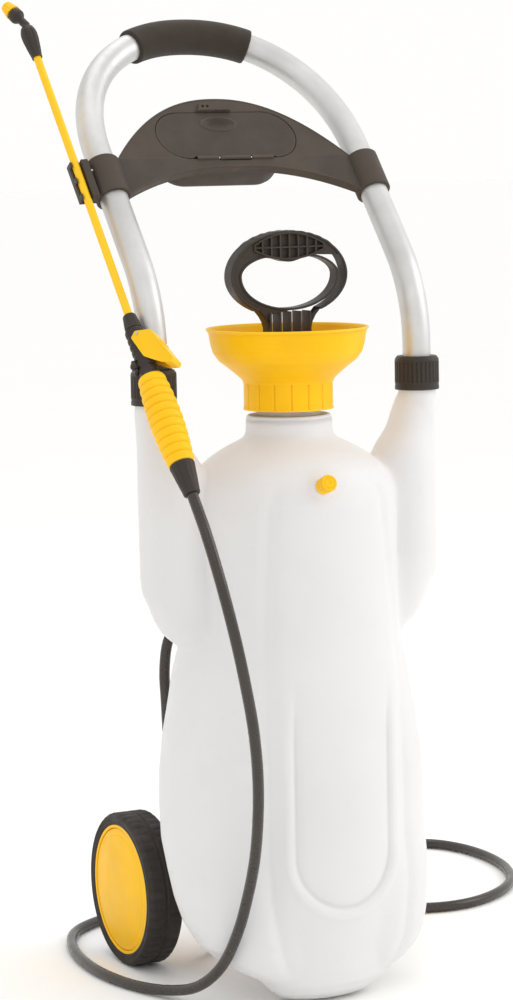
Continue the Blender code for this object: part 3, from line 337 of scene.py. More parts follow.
TANK = tank_material()
YELLOW = yellow_material()
BLACK = black_material("warm black plastic", (50, 43, 37), 0.38, 0.54, 1700, 0.00012)
TRAY = black_material("matt tray plastic", (66, 57, 49), 0.5, 0.66, 1300, 0.00016)
ALUMINIUM = aluminium_material()
STEEL = steel_material()
FOAM = foam_material()
RUBBER = rubber_material("seal rubber", (38, 36, 35), 0.06)
TYRE = rubber_material("tyre rubber", (46, 41, 38), 0.2)
HOSE = hose_material()
NATURAL = natural_material()


# ---- mesh helpers ----
shift = Matrix.Translation
UPRIGHT = Matrix.Rotation(pi / 2, 4, "X")         # local XY becomes XZ, with local Z towards -Y
SIDEWAYS = Matrix.Rotation(pi / 2, 4, "Y")        # local Z becomes +X


def mm(*rows):
    """Rows given in millimetres, as rows of metres."""
    return [tuple(round(value / 1000, 7) for value in row) for row in rows]


def turns_of(count):
    """Evenly spaced angles once round."""
    return 2 * pi * np.arange(count) / count


def smoothed(name, bm, sharp):
    """An object from a bmesh, smooth with its sharp edges kept."""
    mesh = bpy.data.meshes.new(name)
    bm.to_mesh(mesh)
    bm.free()
    mesh.shade_smooth()
    mesh.set_sharp_from_angle(angle=radians(sharp))
    return linked(name, mesh)


def finished(name, bm, sharp=38):
    """An object from a bmesh, welded and facing out."""
    bmesh.ops.remove_doubles(bm, verts=bm.verts, dist=0.000002)
    bmesh.ops.dissolve_degenerate(bm, edges=bm.edges, dist=0.000001)
    bmesh.ops.recalc_face_normals(bm, faces=bm.faces)
    return smoothed(name, bm, sharp)


def skin(name, rings, wrap=False, caps=True, sharp=38):
    """A surface through rings of equal length. wrap joins the last ring to the first."""
    rings = np.asarray(rings, float)
    levels, count = rings.shape[:2]
    bm = bmesh.new()
    verts = [[bm.verts.new(point) for point in row] for row in rings]
    for level in range(levels if wrap else levels - 1):
        low, high = verts[level], verts[(level + 1) % levels]
        for i in range(count):
            j = (i + 1) % count
            bm.faces.new((low[i], low[j], high[j], high[i]))
    if caps and not wrap:
        bm.faces.new(verts[0])
        bm.faces.new(verts[-1])
    return finished(name, bm, sharp)


def rounded(points, radius, steps=3, closed=True):
    """The outline with each corner turned by a short curve."""
    points = [np.array(point, float) for point in points]
    result = []
    for i, corner in enumerate(points):
        if not closed and i in (0, len(points) - 1):
            result.append(corner)
            continue
        before, after = points[i - 1] - corner, points[(i + 1) % len(points)] - corner
        long_before, long_after = np.linalg.norm(before), np.linalg.norm(after)
        cut = min(radius, long_before * 0.45, long_after * 0.45)
        start, end = corner + before / long_before * cut, corner + after / long_after * cut
        for k in range(steps + 1):
            t = k / steps
            result.append((1 - t) ** 2 * start + 2 * t * (1 - t) * corner + t * t * end)
    return result


def lathe(name, profile, steps=72, soft=0.0005, ripple=None, sharp=38):
    """Turned about local Z. Profile rows are (radius, height); ripple may change a ring's radius."""
    solid = profile[0][0] == 0
    rows = rounded(profile, soft, closed=not solid) if soft else [np.array(row, float) for row in profile]
    turns = turns_of(steps)
    rings = []
    for radius, height in rows:
        reach = np.full(steps, max(radius, 0.0))
        if ripple is not None and radius > 0:
            reach = ripple(turns, reach, height)
        rings.append(np.column_stack([reach * np.cos(turns), reach * np.sin(turns), np.full(steps, height)]))
    return skin(name, rings, wrap=not solid, caps=False, sharp=sharp)


def sweep(name, points, radius, sides):
    """A round bar through the points. radius is a number or one for each point."""
    points = np.asarray(points, float)
    reach = np.broadcast_to(np.asarray(radius, float), len(points))
    along = np.gradient(points, axis=0)
    along /= np.linalg.norm(along, axis=1)[:, None]
    side = np.cross(along[0], (0.3, 0.5, 0.8))
    turns = turns_of(sides)
    rings = []
    for centre, direction, r in zip(points, along, reach):
        side = side - direction * np.dot(side, direction)
        side /= np.linalg.norm(side)
        other = np.cross(direction, side)
        rings.append(centre + r * (np.outer(np.cos(turns), side) + np.outer(np.sin(turns), other)))
    return skin(name, rings)


def slab(name, outlines, low, high, bevel, turn=None):
    """A plate with rounded rims from low to high, from 2D outlines: its edge first, then its holes.

    The outlines lie in local XY, or in the plane that turn maps it to.
    """
    curve = bpy.data.curves.new(name, "CURVE")
    curve.dimensions = "2D"
    curve.fill_mode = "BOTH"
    curve.extrude = (high - low) / 2 - bevel
    curve.bevel_depth = bevel
    curve.offset = -bevel
    curve.bevel_resolution = 2
    for outline in outlines:
        spline = curve.splines.new("POLY")
        spline.points.add(len(outline) - 1)
        spline.use_cyclic_u = True
        for target, point in zip(spline.points, outline):
            target.co = (point[0], point[1], 0.0, 1.0)
    source = linked(name, curve)
    bm = bmesh.new()
    bm.from_mesh(source.evaluated_get(bpy.context.evaluated_depsgraph_get()).to_mesh())
    bpy.data.objects.remove(source)
    bmesh.ops.translate(bm, vec=(0, 0, (low + high) / 2), verts=bm.verts)
    if turn is not None:
        bmesh.ops.transform(bm, matrix=turn, verts=bm.verts)
    return finished(name, bm)


def block(name, low, high, bevel=0.0005):
    low, high = Vector(low), Vector(high)
    bm = bmesh.new()
    bmesh.ops.create_cube(bm, size=1.0)
    bmesh.ops.scale(bm, vec=high - low, verts=bm.verts)
    bmesh.ops.translate(bm, vec=(low + high) / 2, verts=bm.verts)
    bmesh.ops.bevel(bm, geom=bm.edges, offset=bevel, segments=2, affect="EDGES", profile=0.5)
    return finished(name, bm)


def joined(name, objects):
    """One object holding the given ones."""
    bm = bmesh.new()
    for obj in objects:
        part = obj.data.copy()
        part.transform(obj.matrix_world)
        bm.from_mesh(part)
        bpy.data.objects.remove(obj)
    return smoothed(name, bm, 38)


def modify(obj, name, kind, **settings):
    modifier = obj.modifiers.new(name, kind)
    for setting, value in settings.items():
        setattr(modifier, setting, value)


def moved(obj, matrix):
    """The object's mesh taken through the matrix."""
    obj.data.transform(matrix)
    return obj


def place(obj, material, body, node=None, at=None):
    """Gives the piece its material, place and body, and hides the CAD node it stands for."""
    if at is not None:
        obj.matrix_world = at
    obj.data.materials.clear()
    obj.data.materials.append(material)
    if material is not TANK:
        modify(obj, "even shading", "WEIGHTED_NORMAL", keep_sharp=True)
    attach(obj, body)
    if node is not None:
        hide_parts(node)


def frame_of(location, z_axis, minus_y):
    """A matrix whose local Z and local -Y point the given ways."""
    z_axis = z_axis.normalized()
    y_axis = -(minus_y - z_axis * minus_y.dot(z_axis)).normalized()
    turn = Matrix((y_axis.cross(z_axis), y_axis, z_axis)).transposed().to_4x4()
    return shift(location) @ turn


def flutes(count, depth, low=-1.0, high=1.0, width=0.5):
    """A ripple that cuts shallow flutes between two heights."""
    def reach(turns, radius, height):
        if not low <= height <= high:
            return radius
        wave = 0.5 + 0.5 * np.cos(turns * count)
        return radius - depth * np.clip((wave - (1 - width)) / width, 0, 1) ** 0.6
    return reach


def travelled(line):
    """How far along the line each of its points is."""
    return np.concatenate(([0], np.cumsum(np.linalg.norm(np.diff(line, axis=0), axis=1))))


def at_distances(line, wanted):
    """The points that lie at the wanted distances along the line."""
    distances = travelled(line)
    return np.column_stack([np.interp(wanted, distances, column) for column in line.T])


def smooth_route(points, spacing):
    """Evenly spaced points on a smooth curve through the given ones (centripetal Catmull-Rom)."""
    p = np.array(points, float)
    p = np.vstack((2 * p[0] - p[1], p, 2 * p[-1] - p[-2]))
    fine = []
    for a, b, c, d in zip(p[:-3], p[1:-2], p[2:-1], p[3:]):
        t1 = np.linalg.norm(b - a) ** 0.5
        t2 = t1 + np.linalg.norm(c - b) ** 0.5
        t3 = t2 + np.linalg.norm(d - c) ** 0.5
        for t in np.linspace(t1, t2, 24, endpoint=False):
            ab = a + (b - a) * t / t1
            bc = b + (c - b) * (t - t1) / (t2 - t1)
            cd = c + (d - c) * (t - t2) / (t3 - t2)
            abc = ab + (bc - ab) * t / t2
            bcd = bc + (cd - bc) * (t - t1) / (t3 - t1)
            fine.append(abc + (bcd - abc) * (t - t1) / (t2 - t1))
    fine = np.array(fine + [p[-2]])
    length = travelled(fine)[-1]
    return at_distances(fine, np.linspace(0, length, round(length / spacing) + 1))


# ---- hose ----
# From the tank's outlet down its back, round the loop on the floor at the right, behind the
# wheels, along the floor at the left, and up in front to the lance.
HOSE_ROUTE = mm((-66, 146, 410.5), (-66.1, 146, 403), (-70, 146.5, 387), (-81, 147.5, 367),
                (-94.5, 145.5, 348), (-101, 142, 318), (-101, 140, 285), (-98.5, 142, 240), (-90, 153, 180),
                (-79, 166, 128), (-71, 175, 85), (-62, 181, 48), (-45, 188, 19), (-12, 205, 7),
                (40, 248, 6), (110, 323, 6), (185, 398, 6), (260, 462, 6), (320, 493, 6), (368, 498, 6),
                (400, 480, 6), (418, 445, 6), (424, 395, 6), (415, 335, 6), (385, 275, 6), (340, 235, 6),
                (290, 216, 6), (245, 222, 6), (200, 248, 9), (155, 284, 15), (108, 319, 17.8),
                (55, 345, 14), (0, 362, 8), (-50, 366, 6), (-95, 353, 6), (-133, 323, 6), (-156, 277, 6),
                (-169, 216, 6), (-170, 154, 6), (-158, 100, 6), (-140, 56, 10), (-127.5, 18, 22),
                (-116.5, -12, 47), (-109.5, -36, 85), (-106.5, -56, 128), (-108.5, -79, 176),
                (-116, -103, 243), (-125, -115, 298), (-135, -120, 345), (-144.5, -119, 392),
                (-153.5, -109, 444))


def make_hose():
    nut_end = LANCE_POINT - LANCE_UP * HOSE_NUT_END
    route = HOSE_ROUTE + [tuple(nut_end - LANCE_UP * back) for back in (0.04, 0.018, 0.0)]
    path = smooth_route(route, 0.006)
    hose = sweep("spray_hose", path, HOSE_R, 18)
    hose.data.materials.append(HOSE)
    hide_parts("hose")
    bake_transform(hose)


make_hose()

# ---- tank ----
# Station tables, in millimetres: each row is a height and the sizes there.
# core ellipse: height, half width, half depth, centre Y
CORE = mm((0, 32, 14, 0), (4, 44, 23, -2), (12, 56, 32, -5), (24, 68, 40, -6), (40, 86, 42, 0),
          (60, 100, 57, 24), (80, 104, 66, 34), (100, 105, 74, 42), (130, 105, 82.5, 50),
          (165, 105, 86.5, 52), (300, 105, 86.5, 52), (345, 106, 88, 51), (380, 109, 90, 50),
          (500, 110, 90, 50), (517, 105, 87.5, 50), (530, 95, 82, 50), (539, 83, 75, 50), (547, 70, 66, 50),
          (553, 58, 56, 50), (557.5, 48, 48, 50), (562, 43.5, 43.5, 50))
# side lobes: height, centre X, centre Y, radius
SIDE = mm((0, 10, 0, 4), (20, 35, -4, 16), (30, 48, -6, 30), (40, 55, 3, 43), (50, 58, 12, 53),
          (62, 60, 22, 62), (80, 60, 32, 70), (103, 60, 40, 75), (130, 60, 47, 78), (160, 60, 56, 80),
          (200, 60, 58, 80.5), (225, 60, 58, 80), (262, 60, 58, 76), (300, 60, 58, 69), (328, 60, 58, 64.5),
          (350, 59, 58, 60), (380, 55, 56, 48), (620, 10, 50, 10))
# front lobe ellipse: height, half width, half depth, centre Y
FRONT = mm((0, 30, 13, 0), (4, 46, 24, -2), (12, 57, 33, -5), (24, 67, 40, -6), (36, 72, 43, -5),
           (60, 84, 53, 5), (100, 94, 63, 13), (160, 100, 70, 20), (300, 100, 70, 20), (370, 96, 64, 21),
           (500, 80, 58, 22), (540, 50, 40, 30), (560, 20, 20, 40), (620, 10, 10, 50))
# wings that carry the handle sockets: height, centre X, radius
WING = mm((352, 100, 12), (358, 106, 21.5), (370, 114, 28), (390, 121.5, 30.8), (430, 128, 33),
          (534, 129, 33), (546, 132, 30), (560, 138, 24.5), (592, 145.5, 19.5))
WING_Y = AXIS_Y + 0.003
WING_INNER, WING_FOOT, WING_TOP = 0.07, 0.325, 0.575      # the region where the wings melt into the tank
TANK_SIDES = 200
TANK_WALL = 0.0026
BLEND_POWER = 22            # how crisply the tank's lobes meet
VOXEL = 0.0024
PANEL_X = 0.009             # the U-shaped panel pressed into the front
PANEL_HALF = 0.06
PANEL_FOOT = 0.092
PANEL_DEPTH = 0.003
# creases between the front lobe and the two sides: height, X at the left, X at the right
CREASE = mm((20, -50, 54), (60, -60, 78), (110, -67, 88), (300, -67, 88), (400, -64, 78), (500, -58, 64),
            (545, -40, 48))
CREASE_DEPTH = 0.003
CREASE_WIDTH = 0.0075
RELIEF_OUT = Vector((0, -sin(RELIEF_TILT), cos(RELIEF_TILT)))
RELIEF_AT = frame_of(RELIEF_POINT, RELIEF_OUT, Vector((0, 0, -1)))
NECK_AT = shift((0, AXIS_Y, 0))


def station(table, z):
    heights = [row[0] for row in table]
    return [float(np.interp(z, heights, [row[k] for row in table])) for k in range(1, len(table[0]))]


def reach_of(origin_y, turns, half_x, half_y, centre_x, centre_y):
    """Distances from (0, origin_y) out to the far side of an ellipse, 0 where the ray misses it."""
    dx, dy = np.cos(turns) / half_x, np.sin(turns) / half_y
    ox, oy = -centre_x / half_x, (origin_y - centre_y) / half_y
    a = dx * dx + dy * dy
    b = ox * dx + oy * dy
    inside = b * b - a * (ox * ox + oy * oy - 1)
    return np.where(inside > 0, np.maximum(0, (-b + np.sqrt(np.maximum(inside, 0))) / a), 0)


def tank_ring(z):
    core_x, core_y, core_mid = station(CORE, z)
    side_x, side_mid, side_r = station(SIDE, z)
    front_x, front_y, front_mid = station(FRONT, z)
    origin_y = float(np.interp(z, (0.0, 0.04, 0.16), (0.0, 0.004, AXIS_Y)))
    turns = turns_of(TANK_SIDES)
    reach = np.stack([reach_of(origin_y, turns, core_x, core_y, 0.0, core_mid),
                      reach_of(origin_y, turns, front_x, front_y, 0.0, front_mid),
                      reach_of(origin_y, turns, side_r, side_r, side_x, side_mid),
                      reach_of(origin_y, turns, side_r, side_r, -side_x, side_mid)])
    biggest = reach.max(axis=0)
    r = biggest * ((reach / biggest) ** BLEND_POWER).sum(axis=0) ** (1 / BLEND_POWER)
    rise = np.sin(turns)
    to_back = np.where(rise > 0.01, (BACK_Y - origin_y) / np.maximum(rise, 0.01), 9.0)
    r = np.minimum(r, to_back)
    return np.stack([r * np.cos(turns), origin_y + r * rise, np.full(TANK_SIDES, z)], axis=1)


def wing_skin(sign):
    turns = turns_of(60)
    rings = []
    for z in np.linspace(WING[0][0], WING[-1][0], 70):
        centre_x, r = station(WING, z)
        rings.append(np.column_stack([sign * (centre_x + r * np.cos(turns)), WING_Y + r * np.sin(turns),
                                      np.full(len(turns), z)]))
    return skin("wing", rings)


def applied(obj):
    """The object's mesh with its modifiers applied."""
    mesh = bpy.data.meshes.new_from_object(obj.evaluated_get(bpy.context.evaluated_depsgraph_get()))
    obj.modifiers.clear()
    obj.data = mesh
    return obj


def smooth_step(value):
    t = np.clip(value, 0, 1)
    return t * t * (3 - 2 * t)


def press_panel(obj):
    """Sinks the U-shaped panel into the front lobe, deepest along its rim, fading out upwards."""
    count = len(obj.data.vertices)
    co = np.empty(count * 3)
    obj.data.vertices.foreach_get("co", co)
    co = co.reshape(-1, 3)
    x, y, z = co[:, 0], co[:, 1], co[:, 2]
    middle = PANEL_FOOT + PANEL_HALF
    inward = PANEL_HALF - np.hypot(x - PANEL_X, np.minimum(z - middle, 0))
    fade = smooth_step((0.335 - z) / 0.075) * (y < 0.01)
    rim = np.exp(-((inward + 0.0035) / 0.0032) ** 2)
    floor = smooth_step(inward / 0.0075)
    trench = np.exp(-((inward - 0.0075) / 0.0045) ** 2)
    co[:, 1] += fade * (PANEL_DEPTH * floor + 0.0012 * trench - 0.0011 * rim)
    heights = [row[0] for row in CREASE]
    ends = smooth_step((z - 0.02) / 0.03) * smooth_step((0.545 - z) / 0.06) * (y < 0.035)
    for column in (1, 2):
        line = np.interp(z, heights, [row[column] for row in CREASE])
        co[:, 1] += CREASE_DEPTH * ends * np.exp(-((x - line) / CREASE_WIDTH) ** 2)
    obj.data.vertices.foreach_set("co", co.ravel())
    obj.data.update()


def make_tank():
    turns = turns_of(TANK_SIDES)

    def neck_ring(radius, height):
        return np.column_stack([radius * np.cos(turns), AXIS_Y + radius * np.sin(turns),
                                np.full(TANK_SIDES, height)])

    rings = [tank_ring(z) for z in np.linspace(0.0, CORE[-1][0], 260)]
    rings += [neck_ring(0.043, 0.5785), neck_ring(0.0415, 0.5805)]
    column = mm((0, 612), (19, 612), (19, 416), (15, 404), (8, 397), (0, 395))
    boss = moved(lathe("boss", mm((0, 0), (10.5, 0), (10.5, -12), (0, -12))), RELIEF_AT)
    parts = [skin("tank_skin", rings), boss]
    for sign in (-1, 1):
        parts += [wing_skin(sign), moved(lathe("column", column), shift((sign * HORN_X, AXIS_Y, 0)))]
    tank = joined("tank_body", parts)
    modify(tank, "one skin", "REMESH", mode="VOXEL", voxel_size=VOXEL, use_smooth_shade=True)
    modify(tank, "relax", "SMOOTH", factor=0.5, iterations=7)
    applied(tank)
    wings = tank.vertex_groups.new(name="wings")
    fade = 0.015
    for vertex in tank.data.vertices:
        x, z = abs(vertex.co.x), vertex.co.z
        share = min(1.0, (x - WING_INNER) / fade, (z - WING_FOOT) / fade, (WING_TOP - z) / fade)
        if share > 0:
            wings.add([vertex.index], share, "REPLACE")
    modify(tank, "melt the wings in", "SMOOTH", factor=0.5, iterations=110, vertex_group="wings")
    applied(tank)
    press_panel(tank)

    bm = bmesh.new()
    bm.from_mesh(tank.data)
    axis = Vector((0, AXIS_Y, 0))
    mouth = [face for face in bm.faces if face.calc_center_median().z > 0.572
             and (face.calc_center_median() - axis).xy.length < 0.03]
    bmesh.ops.delete(bm, geom=mouth, context="FACES")
    bm.to_mesh(tank.data)
    bm.free()
    modify(tank, "wall", "SOLIDIFY", thickness=TANK_WALL, offset=-1.0)
    applied(tank)

    neck = mm((32, 578), (32, 588), (33.2, 589), (32, 590.5), (32, 612), (28.5, 612), (28.5, 574), (32, 574))
    collar = moved(lathe("neck", neck[::-1], 96), NECK_AT)
    shoulder = mm((42.5, 580), (42.5, 574), (30, 574), (30, 581.8), (40.8, 581.8))
    step = moved(lathe("neck_step", shoulder, 96, 0.0008), NECK_AT)
    tank = joined("tank_body", [tank, collar, step])
    tank.data.shade_smooth()
    tank.data.set_sharp_from_angle(angle=radians(60))
    place(tank, TANK, "cart", "tank")


make_tank()


# ---- handle ----
def leaning(x, up):
    return (x, AXIS_Y + up * sin(LEAN), CORNER_Z + up * cos(LEAN))


def arch_point(turn):
    x = copysign(abs(cos(turn)) ** (2 / ARCH_POWER), cos(turn)) * HORN_X
    return leaning(x, ARCH_START + ARCH_RISE * abs(sin(turn)) ** (2 / ARCH_POWER))


def make_handle():
    reach = BEND_R * tan(LEAN / 2)
    centre = (AXIS_Y + BEND_R, CORNER_Z - reach)
    leg = [(HORN_X, AXIS_Y, z) for z in np.linspace(SOCKET_FLOOR + 0.0003, centre[1] - 0.006, 6)]
    for i in range(13):
        turn = LEAN * i / 12
        leg.append((HORN_X, centre[0] - BEND_R * cos(turn), centre[1] + BEND_R * sin(turn)))
    leg += [leaning(HORN_X, up) for up in (0.1, 0.15)]
    arch = [arch_point(pi * i / 48) for i in range(49)]
    left = [(-x, y, z) for x, y, z in reversed(leg)]
    path = smooth_route(leg + arch + left, 0.004)
    place(sweep("handle_frame", path, TUBE_R, 40), ALUMINIUM, "cart", "handle_tube")

    spacing = 0.0006
    turns = [GRIP_TURN + (pi - 2 * GRIP_TURN) * i / 16 for i in range(17)]
    grip_path = smooth_route([arch_point(turn) for turn in turns], spacing)
    count = len(grip_path)
    from_end = np.minimum(np.arange(count), np.arange(count)[::-1]) * spacing
    edge = np.sqrt(1 - (1 - np.clip(from_end / 0.0024, 0, 1)) ** 2)
    middle = np.sin(np.pi * np.arange(count) / (count - 1))
    radius = 0.0155 + 0.0027 * edge + 0.0003 * middle
    place(sweep("foam_grip", grip_path, radius, 48), FOAM, "cart", "hand_grip")

    nut = mm((20, 633), (22.2, 630), (22.5, 628), (22.5, 606), (22.1, 604), (22.5, 602), (22.5, 598.8),
             (19.6, 598.8), (19.6, 618.5), (14.7, 618.5), (14.7, 633))
    for side, sign in SIDES:
        piece = lathe(f"socket_nut_{side}", nut, 144, 0.0006, flutes(30, 0.0008, 0.6065, 0.6275, 0.45))
        place(piece, BLACK, "cart", f"horn_nut_{side}", shift((sign * HORN_X, AXIS_Y, 0)))


make_handle()

# ---- tool tray ----
FRONT_WAY = Vector((0, -1, 0))
TRAY_AT = frame_of(Vector(leaning(0, TRAY_UP)), Vector((0, sin(LEAN), cos(LEAN))), FRONT_WAY)
TRAY_X = 0.13
LID_MID = 0.0535            # middle, half length and half height of the lid
LID_X = 0.078
LID_Z = 0.0305
LID_PIN_Z = 0.0228          # the hinge, and its distance in front of the tray's plane
LID_PIN_OUT = 0.0066
KNUCKLE_R = 0.0022
KNUCKLE_LOW, KNUCKLE_HIGH = 0.019, 0.043     # the tray's two knuckles; the lid's own one is between them
LID_KNUCKLE_HALF = 0.017
PLATE_FRONT = 0.0065


def stadium(half_x, half_z, mid_z):
    per_end = 28
    points = []
    for sign, start in ((1, -90), (-1, 90)):
        centre_x = sign * (half_x - half_z)
        for i in range(per_end):
            turn = radians(start + 180 * i / (per_end - 1))
            points.append((centre_x + half_z * cos(turn), mid_z + half_z * sin(turn)))
    return points


def tray_edge(x, top):
    """Height of the tray's top or bottom edge, both bending down towards the collars."""
    bend = (abs(x) / TRAY_X) ** 2.2
    return 0.1027 - 0.0777 * bend if top else 0.0115 - 0.0335 * bend


def upright_slab(name, outlines, out_low, out_high, bevel):
    """A plate whose outline stands upright, from out_low to out_high in front of its own plane."""
    return slab(name, outlines, out_low, out_high, bevel, UPRIGHT)


def along(outline, count):
    """The closed outline with evenly spaced points."""
    loop = np.array(outline + [outline[0]], float)
    return at_distances(loop, np.linspace(0, travelled(loop)[-1], count, endpoint=False))


def knuckle(low, high):
    profile = ((0, high), (KNUCKLE_R, high), (KNUCKLE_R, low), (0, low))
    at = shift((0, -LID_PIN_OUT, LID_PIN_Z)) @ SIDEWAYS
    return moved(lathe("knuckle", profile, 32, 0.0004), at)


def make_lid():
    """A long cover with a thumb scoop near its top edge, hinged along its bottom edge."""
    low, lift = -LID_Z, LID_PIN_Z + 0.0028 - LID_MID
    start, end = KNUCKLE_LOW - 0.0006, KNUCKLE_HIGH + 0.0003
    notches = [(-end, lift), (-start, lift), (-start, low), (start, low), (start, lift), (end, lift)]
    edge = along(stadium(LID_X, LID_Z, 0.0) + notches, 420)
    # rows of (distance in front of the tray's plane, share of the outline's size)
    rows = [(0.0022, 0.02), (0.0022, 0.985), (0.003, 1.0), (0.0056, 1.0), (0.0064, 0.988), (0.0064, 0.975)]
    rows += [(0.0064, share) for share in np.linspace(0.96, 0.02, 60)]
    rings = []
    for out, share in rows:
        flat = np.stack([edge[:, 0] * share, LID_MID + edge[:, 1] * share], axis=1)
        side, up = (flat[:, 0] + 0.0047) / 0.018, (flat[:, 1] - 0.0685) / 0.0085
        depth = np.full(len(flat), out)
        if out > 0.006:
            scoop = smooth_step((1 - np.hypot(side, up)) / 0.55)
            lip = np.exp(-((np.hypot(side, up) - 1.06) / 0.1) ** 2)
            depth = out - 0.0038 * scoop * np.clip(0.7 + 0.6 * up, 0.15, 1.0) + 0.0009 * lip
        rings.append(np.stack([flat[:, 0], -depth, flat[:, 1]], axis=1))
    parts = [skin("cover", rings, sharp=30), knuckle(-LID_KNUCKLE_HALF, LID_KNUCKLE_HALF)]
    place(joined("tray_cover", parts), TRAY, "lid", "tray_lid", TRAY_AT)


def make_tray():
    spans = [(TRAY_X + 0.001) * sin(pi / 2 * i / 30) for i in range(-30, 31)]
    outline = [(x, tray_edge(x, False)) for x in spans] + [(x, tray_edge(x, True)) for x in reversed(spans)]
    gap = 0.0006
    low, notch = LID_MID - LID_Z - gap, LID_KNUCKLE_HALF + gap
    hole = stadium(LID_X + gap, LID_Z + gap, LID_MID)
    hole += [(-notch, low), (-notch, LID_PIN_Z - 0.0027), (notch, LID_PIN_Z - 0.0027), (notch, low)]
    parts = [upright_slab("plate", (outline, hole), 0.002, PLATE_FRONT, 0.0009)]
    for top, lift, back in ((False, 0.0001, -0.003), (True, -0.0021, 0.0024)):
        lip = [(x, tray_edge(x, top) + lift) for x in spans]
        lip += [(x, tray_edge(x, top) + lift + 0.002) for x in reversed(spans)]
        parts.append(upright_slab("lip", (lip,), back, PLATE_FRONT + 0.0004, 0.0005))
    collar = mm((17.4, 22.5), (18, 21.9), (18, -21.9), (17.4, -22.5), (14.4, -22.5), (14.4, 22.5))
    for sign in (-1, 1):
        parts.append(moved(lathe("collar", collar, 96, 0.0006), shift((sign * HORN_X, 0, 0))))
    parts += [knuckle(KNUCKLE_LOW, KNUCKLE_HIGH), knuckle(-KNUCKLE_HIGH, -KNUCKLE_LOW)]
    place(joined("tray_panel", parts), TRAY, "cart", "tray_plate", TRAY_AT)

    tongue = mm((-25.5, 84.5), (-22, 87.2), (-19.5, 94), (-16.5, 95.8), (-9.5, 95.8), (-6, 93), (0, 87.5),
                (15, 84.5))
    eyes = [[(cx + 0.0014 * cos(2 * pi * i / 20), 0.0905 + 0.0014 * sin(2 * pi * i / 20))
             for i in range(20)] for cx in (-0.016, -0.0108)]
    place(upright_slab("tray_latch", [rounded(tongue, 0.0014)] + eyes, 0.006, 0.0096, 0.0007), TRAY, "cart",
          None, TRAY_AT)
    make_lid()

    wall = mm((83, 33.5, -0.3), (83, 33.5, 1.4), (73.5, 29, 1.6), (72, 28, 0), (66, 26, -34.5),
              (63.5, 24, -38.5), (57, 19, -40), (10, 3, -40.2), (10, 3, -44), (59, 20.5, -43.8),
              (66, 26.5, -41.5), (68.5, 28.7, -37), (74.2, 30.5, -1))
    rings = [[(x, -out, z) for x, z in stadium(half_x, half_z, 0.0525)] for half_x, half_z, out in wall]
    place(skin("tray_pocket", rings, wrap=True), TRAY, "cart", "tray_bin", TRAY_AT)


make_tray()

# ---- lance holders ----
CLIP_AT = frame_of(LANCE_POINT, LANCE_UP, FRONT_WAY)
CRADLE_Z = -0.217           # along the lance from its clip
HOOK_OUTER, HOOK_INNER = 0.0138, 0.0103


def make_holders():
    section = mm((-6.8, 7.4), (-6.8, 1), (-4.4, 1), (-4.4, 4.4), (4.4, 4.4), (4.4, -6.2), (12, -6.2),
                 (12, 7.4))
    parts = [slab("jaws", (rounded(section, 0.0006, 2),), -0.0225, 0.0225, 0.0006)]
    for z in (-0.019, 0.0, 0.019):
        parts.append(block("rib", (-0.0068, -0.0035, z - 0.003), (-0.0046, 0.002, z + 0.003), 0.0006))
    place(joined("clip_body", parts), BLACK, "cart", "lance_clip", CLIP_AT)

    lance_at = LANCE_POINT + LANCE_UP * CRADLE_Z
    tube_at = Vector((-HORN_X, AXIS_Y, 0.64))
    to_lance = Vector((lance_at.x - tube_at.x, lance_at.y - tube_at.y, 0))
    arm_at = frame_of(tube_at, Vector((0, 0, 1)), to_lance)
    hook_at = CLIP_AT @ shift((0, 0, CRADLE_Z))
    band = mm((17.9, 6.5), (18.5, 5.8), (18.5, -5.8), (17.9, -6.5), (14.8, -6.5), (14.8, 6.5))
    parts = [moved(lathe("band", band, 96, 0.0005), shift(tube_at))]
    turns = [radians(62 + 4 * i) for i in range(31)]
    hook = [(HOOK_OUTER * cos(turn), HOOK_OUTER * sin(turn)) for turn in turns]
    hook += [(HOOK_INNER * cos(turn), HOOK_INNER * sin(turn)) for turn in reversed(turns)]
    parts.append(moved(slab("hook", (hook,), -0.0065, 0.0065, 0.0007), hook_at))
    arm = block("arm", (-0.006, 0.0117 - to_lance.length, -0.0064), (0.006, -0.017, -0.001))
    knob = lathe("knob", mm((0, 3.5), (3, 3), (4, 0), (3, -3), (0, -3.5)), 32, 0.0008)
    parts += [moved(arm, arm_at), moved(knob, hook_at @ shift((-0.0126, 0.0008, 0.0)))]
    place(joined("cradle_hook", parts), BLACK, "cart", "lance_cradle")


make_holders()


# ---- wheels and axle ----
def tread(turns, radius, height):
    """Small cross cuts on both shoulders of the tyre."""
    if radius[0] < 0.0785 or abs(height) < 0.0035:
        return radius
    wave = 0.5 + 0.5 * np.cos(turns * 48 + (pi if height > 0 else 0))
    return radius - 0.0009 * np.clip((wave - 0.72) / 0.28, 0, 1) ** 0.5


